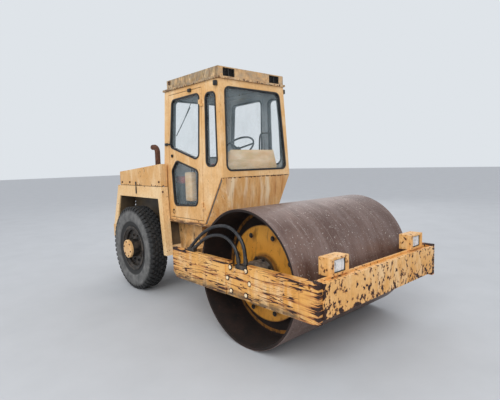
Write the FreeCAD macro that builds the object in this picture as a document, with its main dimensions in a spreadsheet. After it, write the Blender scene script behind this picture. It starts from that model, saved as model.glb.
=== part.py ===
"""Single-drum road roller, hinged between its drum frame and its rear frame.

Frame: +Z up, the machine drives towards -Y, its right side is -X.
The origin is on the ground, halfway along the machine and on its centre plane.
"""
import FreeCAD, Part
import math
import os
import Sketcher

# Driving dimensions in millimetres, angles in degrees: name, value, what it measures
DIMENSIONS = (
    ("front_overhang", 1084, "front crossbar face to drum axle"),
    ("wheelbase", 2870, "drum axle to rear axle"),
    ("rear_overhang", 1036, "rear axle to rear bumper"),
    ("pivot_back", 1450, "drum axle to steering pin"),
    ("running_gap", 8, "between a moving panel and its frame"),
    ("pin_play", 0.3, "radial play of pins and shafts"),
    ("seat_play", 0.3, "between two pieces that are seated on each other"),
    # drum
    ("drum_diameter", 1500, "rolling surface"),
    ("drum_width", 2100, "rolling surface"),
    ("shell_wall", 28, "drum shell"),
    ("head_recess", 420, "drum end to drum head"),
    ("head_wall", 30, "drum head"),
    ("buffer_length", 60, "rubber buffers between head and carrier disc"),
    ("buffer_radius", 55, "rubber buffers"),
    ("buffer_ring", 400, "radius of the ring of buffers"),
    ("disc_radius", 540, "yellow carrier disc"),
    ("disc_wall", 28, "yellow carrier disc"),
    ("hub_flange_radius", 205, "flange at the carrier disc"),
    ("hub_flange_wall", 40, "flange at the carrier disc"),
    ("motor_radius", 165, "travel motor between beam and flange"),
    ("motor_end_radius", 100, "end of the travel motor inside the beam"),
    # drum frame
    ("beam_setback", 19, "crossbar face to front end of side beam"),
    ("beam_gap", 15, "drum end to side beam"),
    ("beam_depth", 60, "side beam across the machine"),
    ("beam_wall", 16, "side beam plates"),
    ("beam_bottom", 560, "side beam, above ground"),
    ("beam_top", 935, "side beam, above ground"),
    ("beam_rear", 1270, "drum axle to rear end of side beam"),
    ("beam_rear_chamfer", 70, "lower rear corner of side beam"),
    ("notch_half", 146, "notch over the drum axle"),
    ("notch_drop", 62, "depth of the notch"),
    ("saddle_half", 205, "recessed middle plate of the beam"),
    ("saddle_recess", 12, "middle plate behind the beam face"),
    ("crossbar_depth", 134, "front crossbar along the machine"),
    ("crossbar_bottom", 606, "front crossbar, above ground"),
    ("crossbar_top", 924, "front crossbar, above ground"),
    ("crossbar_groove", 22, "groove along the top of the crossbar"),
    ("crossbar_lip", 26, "ridges beside the groove"),
    ("rear_bar_front", 930, "drum axle to rear crossbar"),
    ("rear_bar_depth", 190, "rear crossbar along the machine"),
    ("rear_bar_bottom", 590, "rear crossbar, above ground"),
    ("scraper_gap", 12, "scraper edge to drum"),
    ("scraper_wall", 15, "scraper blade"),
    ("hole_radius", 14, "fastening holes at the front of the beam"),
    ("hole_height", 884, "fastening holes, above ground"),
    ("hole_back", 118, "crossbar face to the first hole"),
    ("hole_spacing", 127, "between the two holes"),
    # hinge
    ("hinge_height", 750, "centre of the swinging bearing"),
    ("ring_radius", 165, "bearing ring on the rear crossbar"),
    ("ring_length", 75, "bearing ring on the rear crossbar"),
    ("shaft_radius", 85, "shaft of the hinge block"),
    ("block_half_width", 95, "hinge block"),
    ("block_half_height", 190, "hinge block"),
    ("block_front", 110, "steering pin to front of hinge block"),
    ("block_back", 60, "steering pin to back of hinge block"),
    ("pin_radius", 45, "steering pin"),
    ("fork_wall", 40, "fork plates of the rear frame"),
    ("fork_half_width", 150, "fork plates"),
    # rear frame
    ("frame_half_width", 450, "outer faces of the rear frame"),
    ("frame_wall", 25, "rear frame plates"),
    ("frame_bottom", 600, "rear frame, above ground"),
    ("frame_top", 1130, "rear frame, above ground"),
    ("frame_front", 1575, "drum axle to front of rear frame"),
    ("cross_plate_front", 360, "rear axle to the cross plate before it"),
    ("cross_plate_back", 620, "rear axle to the cross plate behind it"),
    ("axle_radius", 90, "rear axle tube"),
    ("differential_radius", 190, "rear axle housing"),
    ("axle_notch_half", 150, "room in the frame for the axle"),
    # rear wheels
    ("track", 1560, "between tyre centre planes"),
    ("tyre_diameter", 1330, "rear tyre over its tread"),
    ("tyre_width", 300, "rear tyre"),
    ("shoulder", 38, "tyre sidewall to the edge of the tread"),
    ("rim_radius", 335, "bead seat of the rim"),
    ("rim_dish", 90, "sidewall face to rim disc"),
    ("hub_radius", 142, "round hub cap"),
    ("hub_out", 60, "sidewall face to the end of the hub cap"),
    ("spindle_radius", 60, "stub of the axle inside the hub"),
    ("hub_inner_radius", 120, "hub behind the rim disc"),
    # rear body
    ("body_half_width", 750, "outer faces of fenders and hood"),
    ("fender_wall", 24, "fender panels"),
    ("fender_bottom", 628, "tip of the front leg, above ground"),
    ("arch_gap", 145, "tyre to the top of the wheel arch"),
    ("seam_rise", 180, "wheel arch to the seam under the hood"),
    ("leg_gap", 47, "tyre to the tip of the front leg"),
    ("leg_toe_width", 85, "front leg at its tip"),
    ("leg_lean", 99, "inner edge of the front leg, tip to arch corner"),
    ("body_lean", 79, "front edge of the body, tip to seam"),
    ("arch_back_gap", 34, "tyre to the rear corner of the arch"),
    ("arch_inner", 450, "centre plane to inner arch wall"),
    ("rear_leg_bottom", 940, "tip of the rear leg, above ground"),
    ("rear_slope", 255, "rear face leans out by this, seam to bumper"),
    ("rear_setback", 30, "bumper face to the foot of the rear wall"),
    ("rear_leg_width", 140, "rear leg at its tip"),
    ("hood_setback", 95, "rear wall at the seam to hood rear"),
    ("hood_front_gap", 25, "cab rear wall to hood"),
    ("ledge_inset", 40, "ledge of the rear wall that reaches under the hood"),
    ("bumper_depth", 130, "rear bumper"),
    ("bumper_bottom", 720, "rear bumper, above ground"),
    ("hood_front_rise", 340, "hood top over the seam, at the cab"),
    ("hood_rear_rise", 230, "hood top over the seam, at the rear"),
    ("hood_wall", 18, "hood panels"),
    ("grille_half_width", 430, "rear grille"),
    ("grille_drop", 55, "seam to the top of the rear grille"),
    ("grille_height", 480, "rear grille"),
    ("grille_slats", 7, "slats of the rear grille"),
    ("engine_length", 900, "engine block"),
    ("engine_width", 620, "engine block"),
    ("engine_height", 700, "engine block"),
    ("engine_clearance", 10, "engine over the axle housing"),
    ("engine_front", 300, "rear axle to front of the engine"),
    ("foot_height", 60, "engine feet"),
    ("hood_pin_radius", 8, "hinge pins of the hood"),
    ("hood_pin_back", 16, "hood rear to its hinge pins"),
    ("hood_pin_height", 20, "seam to the hinge pins"),
    ("hood_pin_offset", 580, "centre plane to hinge of the hood"),
    ("exhaust_radius", 45, "exhaust pipe"),
    ("exhaust_wall", 4, "exhaust pipe"),
    ("exhaust_bend", 95, "bend of the exhaust pipe, on its centre line"),
    ("exhaust_tail", 60, "straight end after the bend"),
    ("exhaust_offset", 255, "exhaust pipe to centre plane"),
    ("exhaust_back", 215, "rear axle to exhaust pipe"),
    ("exhaust_rise", 680, "seam to the top of the exhaust pipe"),
    # cab
    ("sill_height", 1170, "bottom of the cab walls, above ground"),
    ("fold_height", 1800, "fold of the cab front, above ground"),
    ("eaves_height", 3050, "top of the cab walls, above ground"),
    ("roof_rise", 150, "roof over the cab walls"),
    ("cab_half_width", 625, "cab at its sill"),
    ("roof_half_width", 590, "cab at its eaves"),
    ("cab_wall", 45, "cab walls and doors"),
    ("cab_nose", 830, "drum axle to cab front at the fold"),
    ("cab_brow", 905, "drum axle to cab front at the eaves"),
    ("cab_toe", 900, "drum axle to lowest edge of the cab front"),
    ("cab_toe_half_width", 350, "lowest edge of the cab front"),
    ("cab_toe_side", 1199, "drum axle to the front of the side wall at the sill"),
    ("cab_back_sill", 2310, "drum axle to cab rear at the sill"),
    ("cab_back_eaves", 2195, "drum axle to cab rear at the eaves"),
    ("floor_wall", 40, "cab floor"),
    ("door_front", 1275, "drum axle to hinge edge of the door"),
    ("door_back_sill", 2110, "drum axle to latch edge at the bottom"),
    ("door_back_eaves", 2085, "drum axle to latch edge at the top"),
    ("door_sill", 45, "sill to the bottom of the door"),
    ("door_head", 65, "top of the door to the top of the cab walls"),
    ("pillar", 55, "narrowest frame beside a window"),
    ("door_pin_radius", 6, "hinge pins of the doors"),
    ("door_pin_out", 18, "side of the cab to the hinge pins"),
    ("door_eye_radius", 12, "hinge eyes of the doors"),
    ("door_hinge_low", 230, "sill to lower door hinge"),
    ("door_hinge_high", 1600, "sill to upper door hinge"),
    ("door_hinge_length", 60, "hinge eye of the door"),
    ("glass_wall", 6, "window glass"),
    ("corner_radius", 85, "corners of the windows"),
    ("roof_wall", 30, "top of the roof"),
    ("gutter", 22, "gutter around the roof"),
    ("gutter_height", 28, "gutter around the roof"),
    ("vent_width", 200, "roof vents"),
    ("vent_height", 116, "roof vents"),
    ("vent_drop", 12, "top of the roof to its vents"),
    ("roof_back_inset", 70, "rear of the cab walls to the roof box"),
    ("vent_offset", 410, "roof vents to centre plane"),
    # driver's place
    ("seat_width", 480, "seat"),
    ("seat_depth", 460, "seat"),
    ("seat_height", 1600, "seat cushion top, above ground"),
    ("seat_cushion", 110, "seat cushion, how thick"),
    ("seat_rest", 420, "backrest over the cushion"),
    ("wheel_rim_radius", 250, "steering wheel"),
    ("wheel_tube_radius", 13, "steering wheel rim"),
    ("wheel_height", 2180, "steering wheel centre, above ground"),
    ("wheel_back", 320, "front of the dashboard to the steering wheel centre"),
    ("wheel_tilt", 38, "steering wheel from level, degrees"),
    ("dash_front", 935, "drum axle to front of the dashboard"),
    ("dash_drop", 25, "steering wheel centre to the top of the dashboard"),
    ("dash_length", 240, "sloping top of the dashboard"),
    ("dash_half_width", 460, "dashboard"),
    ("dash_foot", 240, "front of the dashboard to the back of its foot"),
    ("dash_foot_front", 160, "front of the dashboard to the front of its foot"),
    ("seat_back", 1560, "drum axle to front of the seat"),
    # lamps and hoses
    ("lamp_width", 270, "lamp box"),
    ("lamp_height", 170, "lamp box"),
    ("lamp_depth", 150, "lamp box"),
    ("lamp_offset_right", 710, "right lamp box to centre plane"),
    ("lamp_offset_left", 800, "left lamp box to centre plane"),
    ("lamp_setback", 84, "crossbar face to lamp box"),
    ("lens_width", 190, "lamp lens"),
    ("lens_height", 130, "lamp lens"),
    ("hose_radius", 20, "hydraulic hoses"),
    # steering cylinder
    ("cylinder_radius", 50, "steering cylinder barrel"),
    ("rod_radius", 25, "steering cylinder rod"),
    ("steering_arm", 225, "centre plane to the cylinder's front eye"),
    ("arm_wall", 30, "steering arm of the hinge block"),
    ("cylinder_base", 330, "centre plane to the cylinder's rear pin"),
    ("cylinder_base_back", 980, "steering pin to the cylinder's rear pin"),
    ("cylinder_length", 640, "steering cylinder barrel"),
    ("cylinder_height", 830, "steering cylinder, above ground"),
)


class Size:
    """A number and the sheet expression that it comes from."""

    def __init__(self, number, text):
        self.number = float(number)
        self.text = text

    def __float__(self):
        return self.number

    def __add__(self, other):
        other = sized(other)
        return Size(self.number + other.number, f"({self.text} + {other.text})")

    def __radd__(self, other):
        return sized(other) + self

    def __sub__(self, other):
        other = sized(other)
        return Size(self.number - other.number, f"({self.text} - {other.text})")

    def __rsub__(self, other):
        return sized(other) - self

    def __mul__(self, other):
        other = sized(other)
        return Size(self.number * other.number, f"({self.text} * {other.text})")

    def __rmul__(self, other):
        return sized(other) * self

    def __truediv__(self, other):
        other = sized(other)
        return Size(self.number / other.number, f"({self.text} / {other.text})")

    def __rtruediv__(self, other):
        return sized(other) / self

    def __neg__(self):
        return Size(-self.number, f"(-1 * {self.text})")


def sized(value):
    """Any number as a Size."""
    return value if isinstance(value, Size) else Size(value, repr(value))


def slope_angle(rise, run):
    """The angle of a slope in degrees."""
    return Size(math.degrees(math.atan(float(rise) / float(run))), f"atan({rise.text} / {run.text})")


def sine(angle):
    return Size(math.sin(math.radians(float(angle))), f"sin({angle.text})")


def cosine(angle):
    return Size(math.cos(math.radians(float(angle))), f"cos({angle.text})")


def between(low, high, share):
    """The place a share of the way from low to high."""
    return low + (high - low) * share


doc = FreeCAD.newDocument("road_roller")
sheet = doc.addObject("Spreadsheet::Sheet", "sizes")
for row, (alias, value, note) in enumerate(DIMENSIONS, start=1):
    sheet.set(f"A{row}", note)
    sheet.set(f"B{row}", str(value))
    sheet.setAlias(f"B{row}", alias)
doc.recompute()
size = {alias: Size(value, f"sizes.{alias}") for alias, value, note in DIMENSIONS}

RIGHT = -1
LEFT = 1
SIDES = (("right", RIGHT), ("left", LEFT))
PLANES = {"XY": "XY_Plane", "XZ": "XZ_Plane", "YZ": "YZ_Plane"}
pieces = []


# Helpers that make document objects bound to the sheet
def bind(thing, **values):
    """Tie properties to the sheet; __ in a name stands for a dot."""
    for name, value in values.items():
        thing.setExpression(name.replace("__", "."), sized(value).text)


def place(thing, x=0, y=0, z=0, axis=None, angle=0):
    """Move a piece and turn it about an axis through its own origin."""
    if axis is not None:
        thing.Placement = FreeCAD.Placement(FreeCAD.Vector(), FreeCAD.Rotation(FreeCAD.Vector(*axis), 1))
        bind(thing, Placement__Rotation__Angle=angle)
    bind(thing, Placement__Base__x=x, Placement__Base__y=y, Placement__Base__z=z)


def draw(sketch, loops):
    """Closed loops: a list of corners, or a circle as (u, v, radius)."""
    rules = []
    for loop in loops:
        if isinstance(loop, tuple):
            centre_u, centre_v, radius = (sized(value) for value in loop)
            centre = FreeCAD.Vector(float(centre_u), float(centre_v), 0)
            circle = sketch.addGeometry(Part.Circle(centre, FreeCAD.Vector(0, 0, 1), float(radius)))
            rules.append((Sketcher.Constraint("Radius", circle, float(radius)), radius))
            rules.append((Sketcher.Constraint("DistanceX", -1, 1, circle, 3, float(centre_u)), centre_u))
            rules.append((Sketcher.Constraint("DistanceY", -1, 1, circle, 3, float(centre_v)), centre_v))
            continue
        corners = [(sized(u), sized(v)) for u, v in loop]
        points = [FreeCAD.Vector(float(u), float(v), 0) for u, v in corners]
        lines = []
        for start, end in zip(points, points[1:] + points[:1]):
            lines.append(sketch.addGeometry(Part.LineSegment(start, end)))
        for line, following in zip(lines, lines[1:] + lines[:1]):
            sketch.addConstraint(Sketcher.Constraint("Coincident", line, 2, following, 1))
        for line, (u, v) in zip(lines, corners):
            rules.append((Sketcher.Constraint("DistanceX", -1, 1, line, 1, float(u)), u))
            rules.append((Sketcher.Constraint("DistanceY", -1, 1, line, 1, float(v)), v))
    for rule, value in rules:
        number = sketch.addConstraint(rule)
        sketch.setExpression(f"Constraints[{number}]", value.text)


def sketch_on(body, plane, offset, loops):
    """A sketch parallel to one of the body's own planes."""
    sketch = body.newObject("Sketcher::SketchObject", body.Label + "_sketch")
    origin_plane = next(item for item in body.Origin.OriginFeatures if item.Role == PLANES[plane])
    sketch.AttachmentSupport = [(origin_plane, "")]
    sketch.MapMode = "FlatFace"
    bind(sketch, AttachmentOffset__Base__z=offset)
    draw(sketch, loops)
    return sketch


def span(plane, low, high):
    """Offset of the sketch and length of a pad that fills low to high."""
    low, high = sized(low), sized(high)
    return (-high if plane == "XZ" else low), high - low


def new_body(label):
    body = doc.addObject("PartDesign::Body", label)
    body.Label = label
    return body


def pad(body, plane, low, high, *loops):
    """Add the loops' area from low to high along the plane's axis."""
    offset, length = span(plane, low, high)
    feature = body.newObject("PartDesign::Pad", body.Label + "_pad")
    feature.Profile = sketch_on(body, plane, offset, loops)
    bind(feature, Length=length)
    body.Tip = feature
    return feature


def cut(body, plane, low, high, *loops):
    """Take the loops' area away from low to high along the plane's axis."""
    offset, length = span(plane, low, high)
    feature = body.newObject("PartDesign::Pocket", body.Label + "_cut")
    feature.Profile = sketch_on(body, plane, offset, loops)
    feature.Reversed = True
    bind(feature, Length=length)
    body.Tip = feature
    return feature


def round_corners(body, plane, corners, radius):
    """Round the edges that run through the corners, along the plane's axis."""
    doc.recompute()
    tip = body.Tip
    picks = {"XY": lambda p: (p.x, p.y), "XZ": lambda p: (p.x, p.z), "YZ": lambda p: (p.y, p.z)}[plane]
    wanted = [(float(sized(u)), float(sized(v))) for u, v in corners]
    edges = []
    for number, edge in enumerate(tip.Shape.Edges, start=1):
        ends = [picks(vertex.Point) for vertex in edge.Vertexes]
        for u, v in wanted:
            if len(ends) == 2 and all(math.dist(end, (u, v)) < 0.01 for end in ends):
                edges.append(f"Edge{number}")
    feature = body.newObject("PartDesign::Fillet", body.Label + "_round")
    feature.Base = (tip, edges)
    bind(feature, Radius=radius)
    body.Tip = feature
    return feature


def keep(thing):
    """A finished sub-part, written to a file of its own."""
    pieces.append(thing)
    return thing


def plate(label, plane, low, high, *loops):
    """A flat piece cut to the outline of its loops."""
    body = new_body(label)
    pad(body, plane, low, high, *loops)
    return keep(body)


def shape_piece(label, shape):
    """A sub-part made with shape functions."""
    piece = doc.addObject("Part::Feature", label)
    piece.Shape = shape
    return keep(piece)


def tube(corners, bends, radius):
    """A round bar along straight runs, with an arc of each bend's radius at the inner corners."""
    points = [FreeCAD.Vector(*(float(value) for value in corner)) for corner in corners]
    edges = []
    start = points[0]
    for before, corner, after, bend in zip(points, points[1:], points[2:], bends):
        inward = (before - corner).normalize()
        onward = (after - corner).normalize()
        half_turn = (math.pi - inward.getAngle(onward)) / 2
        setback = float(bend) * math.tan(half_turn)
        middle = (inward + onward).normalize() * (float(bend) / math.cos(half_turn) - float(bend))
        first, last = corner + inward * setback, corner + onward * setback
        edges.append(Part.LineSegment(start, first).toShape())
        edges.append(Part.Arc(first, corner + middle, last).toShape())
        start = last
    edges.append(Part.LineSegment(start, points[-1]).toShape())
    path = Part.Wire(edges)
    section = Part.Wire([Part.Circle(points[0], points[1] - points[0], float(radius)).toShape()])
    return path.makePipeShell([section], True, True)


def rectangle(u0, u1, v0, v1):
    return [(u0, v0), (u1, v0), (u1, v1), (u0, v1)]


def turned(label, centre_y, centre_z, *profiles):
    """Rings turned about a crosswise axle; each profile holds (x, radius)."""
    body = new_body(label)
    sketch = sketch_on(body, "XZ", 0, profiles)
    feature = body.newObject("PartDesign::Revolution", label + "_turn")
    feature.Profile = sketch
    feature.ReferenceAxis = (sketch, ["H_Axis"])
    body.Tip = feature
    place(body, 0, centre_y, centre_z)
    return body


# Places along the machine, worked out once
drum_y = (size["front_overhang"] - size["wheelbase"] - size["rear_overhang"]) / 2
axle_y = drum_y + size["wheelbase"]
rear_y = axle_y + size["rear_overhang"]
pivot_y = drum_y + size["pivot_back"]
drum_z = size["drum_diameter"] / 2
axle_z = size["tyre_diameter"] / 2
beam_inner = size["drum_width"] / 2 + size["beam_gap"]
beam_outer = beam_inner + size["beam_depth"]
bar_y = drum_y - size["front_overhang"]
beam_front = bar_y + size["beam_setback"]
beam_rear = drum_y + size["beam_rear"]
rear_bar_y = drum_y + size["rear_bar_front"]
rear_bar_back = rear_bar_y + size["rear_bar_depth"]
hinge_z = size["hinge_height"]
frame_y = drum_y + size["frame_front"]
frame_back = rear_y - size["bumper_depth"]
arch_z = size["tyre_diameter"] + size["arch_gap"]
seam_z = arch_z + size["seam_rise"]
toe_back_y = axle_y - axle_z - size["leg_gap"]
toe_y = toe_back_y - size["leg_toe_width"]
seam_front_y = toe_y + size["body_lean"]
hood_front_z = seam_z + size["hood_front_rise"]
hood_rear_z = seam_z + size["hood_rear_rise"]
rear_foot_y = rear_y - size["rear_setback"]
rear_seam_y = rear_foot_y - size["rear_slope"]


def sided(sign, inner, outer):
    """Low and high x of something on one side of the machine."""
    return (inner, outer) if sign > 0 else (-outer, -inner)


# Drum: shell, two heads, and on each side a carrier disc on rubber buffers
shell_inner = drum_z - size["shell_wall"]
half_drum = size["drum_width"] / 2
keep(turned("drum_shell", drum_y, drum_z, [
    (-half_drum, shell_inner), (half_drum, shell_inner), (half_drum, drum_z), (-half_drum, drum_z)]))
head_outer = half_drum - size["head_recess"]
head_inner = head_outer - size["head_wall"]
disc_inner = head_outer + size["buffer_length"]
disc_outer = disc_inner + size["disc_wall"]
flange_outer = disc_outer + size["hub_flange_wall"]
BUFFERS = 8
keep(turned("drum_heads", drum_y, drum_z, *([
    (sign * head_inner, 0), (sign * head_outer, 0),
    (sign * head_outer, shell_inner), (sign * head_inner, shell_inner)] for name, sign in SIDES)))
buffers = []
for number in range(BUFFERS):
    turn = math.radians(360 / BUFFERS * (number + 0.5))
    ring = size["buffer_ring"]
    buffers.append((drum_y + ring * math.cos(turn), drum_z + ring * math.sin(turn), size["buffer_radius"]))
discs = new_body("drum_discs")
for name, sign in SIDES:
    pad(discs, "YZ", *sided(sign, disc_inner, disc_outer), (drum_y, drum_z, size["disc_radius"]))
    pad(discs, "YZ", *sided(sign, disc_outer, flange_outer), (drum_y, drum_z, size["hub_flange_radius"]))
    pad(discs, "YZ", *sided(sign, head_outer, disc_inner), *buffers)
keep(discs)

# Drum frame: two side beams, joined at the front and behind the drum
low_z, high_z = size["beam_bottom"], size["beam_top"]
notch_z = high_z - size["notch_drop"]
chamfer = size["beam_rear_chamfer"]
wall = size["beam_wall"]
holes = [(bar_y + back, size["hole_height"], size["hole_radius"])
         for back in (size["hole_back"], size["hole_back"] + size["hole_spacing"])]
beams = new_body("side_beams")
for name, sign in SIDES:
    pad(beams, "YZ", *sided(sign, beam_inner, beam_outer), [
        (beam_front, low_z), (beam_rear - chamfer, low_z), (beam_rear, low_z + chamfer), (beam_rear, high_z),
        (drum_y + size["notch_half"], high_z), (drum_y + size["notch_half"], notch_z),
        (drum_y - size["notch_half"], notch_z), (drum_y - size["notch_half"], high_z), (beam_front, high_z)])
    cut(beams, "YZ", *sided(sign, beam_inner - 1, beam_outer - wall * 2), rectangle(
        beam_front + wall, beam_rear - chamfer - wall, low_z + wall, notch_z - wall))
    cut(beams, "YZ", *sided(sign, beam_outer - size["saddle_recess"], beam_outer + 1), rectangle(
        drum_y - size["saddle_half"], drum_y + size["saddle_half"], low_z - 1, high_z + 1))
    cut(beams, "YZ", *sided(sign, beam_inner - 1, beam_outer + 1), *holes)
keep(beams)

bar_back = bar_y + size["crossbar_depth"]
lip = size["crossbar_lip"]
groove_z = size["crossbar_top"] - size["crossbar_groove"]
plate("front_crossbar", "YZ", -beam_inner, beam_inner, [
    (bar_y, size["crossbar_bottom"]), (bar_back, size["crossbar_bottom"]),
    (bar_back, size["crossbar_top"]), (bar_back - lip, size["crossbar_top"]), (bar_back - lip, groove_z),
    (bar_y + lip, groove_z), (bar_y + lip, size["crossbar_top"]), (bar_y, size["crossbar_top"])])
plate("rear_crossbar", "XY", size["rear_bar_bottom"], size["beam_top"], rectangle(
    -beam_inner, beam_inner, rear_bar_y, rear_bar_back))
scraper_z = drum_z - 110
plate("scraper", "XY", scraper_z, scraper_z + size["scraper_wall"], rectangle(
    -half_drum + 40, half_drum - 40, drum_y + drum_z + size["scraper_gap"], rear_bar_y))

# Travel motors between the beams and the drum's flanges
motors = new_body("drum_motors")
for name, sign in SIDES:
    pad(motors, "YZ", *sided(sign, flange_outer + size["pin_play"], beam_inner), (drum_y, drum_z, size["motor_radius"]))
    pad(motors, "YZ", *sided(sign, beam_inner, beam_outer - size["beam_wall"] * 2), (
        drum_y, drum_z, size["motor_end_radius"]))
keep(motors)

# Lamp boxes on the front crossbar
lamp_front = bar_y + size["lamp_setback"]
lamp_back = lamp_front + size["lamp_depth"]
lamp_z = size["crossbar_top"]
lamp_top = lamp_z + size["lamp_height"]
lens_z = lamp_z + (size["lamp_height"] - size["lens_height"]) / 2
lamps = new_body("headlamps")
lens = new_body("lamp_lenses")
for name, sign in SIDES:
    offset = size["lamp_offset_" + name]
    box_x = sided(sign, offset - size["lamp_width"] / 2, offset + size["lamp_width"] / 2)
    lens_x = sided(sign, offset - size["lens_width"] / 2, offset + size["lens_width"] / 2)
    opening = rectangle(*lens_x, lens_z, lens_z + size["lens_height"])
    pad(lamps, "XY", lamp_z, lamp_top, rectangle(*box_x, lamp_front, lamp_back))
    cut(lamps, "XZ", lamp_front - 1, lamp_back - 40, opening)
    pad(lens, "XZ", lamp_front + 20, lamp_front + 45, opening)
keep(lamps)
keep(lens)

# Hinge: a ring on the rear crossbar lets the drum frame swing sideways, a pin steers it
plate("swing_bearing", "XZ", rear_bar_back, rear_bar_back + size["ring_length"],
      (0, hinge_z, size["ring_radius"]), (0, hinge_z, size["shaft_radius"] + size["pin_play"]))
block = new_body("hinge_block")
block_low = hinge_z - size["block_half_height"]
block_high = hinge_z + size["block_half_height"]
pad(block, "XY", block_low, block_high,
    rectangle(-size["block_half_width"], size["block_half_width"],
              pivot_y - size["block_front"], pivot_y + size["block_back"]),
    (0, pivot_y, size["pin_radius"] + size["pin_play"]))
pad(block, "XZ", rear_bar_back + 5, pivot_y - size["block_front"], (0, hinge_z, size["shaft_radius"]))
arm_z = size["cylinder_height"] - size["cylinder_radius"]
eye_radius = size["rod_radius"] + 18
pad(block, "XY", arm_z - size["arm_wall"], arm_z, rectangle(
    0, size["steering_arm"] + eye_radius, pivot_y - eye_radius, pivot_y + eye_radius),
    (0, pivot_y, size["pin_radius"] + size["pin_play"]))
keep(block)

# Rear frame: two plates, three cross plates and the fork that holds the steering pin
half_frame = size["frame_half_width"]
frame_wall = size["frame_wall"]
fork_low = block_low - size["running_gap"] - size["fork_wall"]
fork_high = block_high + size["running_gap"] + size["fork_wall"]
notch_top = axle_z + size["axle_radius"] + 20
chassis = new_body("chassis")
pad(chassis, "XZ", frame_y, frame_y + frame_wall, [
    (-size["fork_half_width"], fork_low), (size["fork_half_width"], fork_low),
    (size["fork_half_width"], size["frame_bottom"]), (half_frame, size["frame_bottom"]),
    (half_frame, size["frame_top"]), (-half_frame, size["frame_top"]),
    (-half_frame, size["frame_bottom"]), (-size["fork_half_width"], size["frame_bottom"])])
for name, sign in SIDES:
    pad(chassis, "YZ", *sided(sign, half_frame - frame_wall, half_frame), [
        (frame_y, size["frame_bottom"]), (axle_y - size["axle_notch_half"], size["frame_bottom"]),
        (axle_y - size["axle_notch_half"], notch_top), (axle_y + size["axle_notch_half"], notch_top),
        (axle_y + size["axle_notch_half"], size["frame_bottom"]), (frame_back, size["frame_bottom"]),
        (frame_back, size["frame_top"]), (frame_y, size["frame_top"])])
for place_y in (axle_y - size["cross_plate_front"], axle_y + size["cross_plate_back"], frame_back - frame_wall):
    pad(chassis, "XY", size["frame_bottom"] + 60, size["frame_top"] - 60, rectangle(
        -half_frame, half_frame, place_y, place_y + frame_wall))
for low in (fork_low, fork_high - size["fork_wall"]):
    pad(chassis, "XY", low, low + size["fork_wall"], rectangle(
        -size["fork_half_width"], size["fork_half_width"], pivot_y - size["block_back"], frame_y))
pad(chassis, "XY", fork_low - 15, fork_high + 15, (0, pivot_y, size["pin_radius"]))
cut(chassis, "XZ", frame_y - 1, frame_y + frame_wall + 1, rectangle(
    40, half_frame - frame_wall - 60, arm_z - size["arm_wall"] - 20, arm_z + 130))
base_x = size["cylinder_base"]
base_y = pivot_y + size["cylinder_base_back"]
for low in (size["cylinder_height"] - 80, size["cylinder_height"] + 58):
    pad(chassis, "XY", low, low + 22, rectangle(base_x - 45, half_frame - frame_wall, base_y - 45, base_y + 45))
pad(chassis, "XY", size["cylinder_height"] - 80, size["cylinder_height"] + 80, (base_x, base_y, 22))
keep(chassis)

# Steering cylinder: the barrel turns on its rear pin, the rod's eye rests over the steering arm
arm_x = size["steering_arm"]
length = math.hypot(float(base_x - arm_x), float(base_y - pivot_y))
heading = slope_angle(base_x - arm_x, base_y - pivot_y)
cylinder_z = size["cylinder_height"]
barrel = new_body("cylinder_barrel")
barrel_r, rod_r = size["cylinder_radius"], size["rod_radius"]
BACK_EYE = 45
pad(barrel, "XZ", -size["cylinder_length"], -BACK_EYE + 10, (0, 0, barrel_r))
pad(barrel, "XY", -45, 45, (0, 0, BACK_EYE))
cut(barrel, "XZ", -size["cylinder_length"] - 1, -BACK_EYE - 25, (0, 0, rod_r + size["pin_play"]))
cut(barrel, "XY", -46, 46, (0, 0, 22 + size["pin_play"]))
place(barrel, base_x, base_y, cylinder_z, axis=(0, 0, -1), angle=heading)
keep(barrel)
rod = new_body("cylinder_rod")
pad(rod, "XZ", rod_r, length - size["cylinder_length"] + 240, (0, 0, rod_r))
pad(rod, "XY", -barrel_r + size["running_gap"], barrel_r - size["running_gap"], (0, 0, eye_radius))
place(rod, arm_x, pivot_y, cylinder_z, axis=(0, 0, -1), angle=heading)
keep(rod)


# Rear axle and wheels
tyre_x = size["track"] / 2
half_tyre = size["tyre_width"] / 2
rim_disc = half_tyre - size["rim_dish"]
spindle = size["spindle_radius"]
SPINDLE_END = 30
axle = new_body("rear_axle")
hub_inner = tyre_x - 60
pad(axle, "YZ", -hub_inner + 5, hub_inner - 5, (axle_y, axle_z, size["axle_radius"]))
pad(axle, "YZ", -(tyre_x + rim_disc - SPINDLE_END), tyre_x + rim_disc - SPINDLE_END, (axle_y, axle_z, spindle))
pad(axle, "YZ", -150, 150, (axle_y, axle_z, size["differential_radius"]))
for name, sign in SIDES:
    pad(axle, "YZ", *sided(sign, half_frame - frame_wall, half_frame), rectangle(
        axle_y - size["axle_notch_half"] + 20, axle_y + size["axle_notch_half"] - 20, axle_z, notch_top))
keep(axle)

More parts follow.
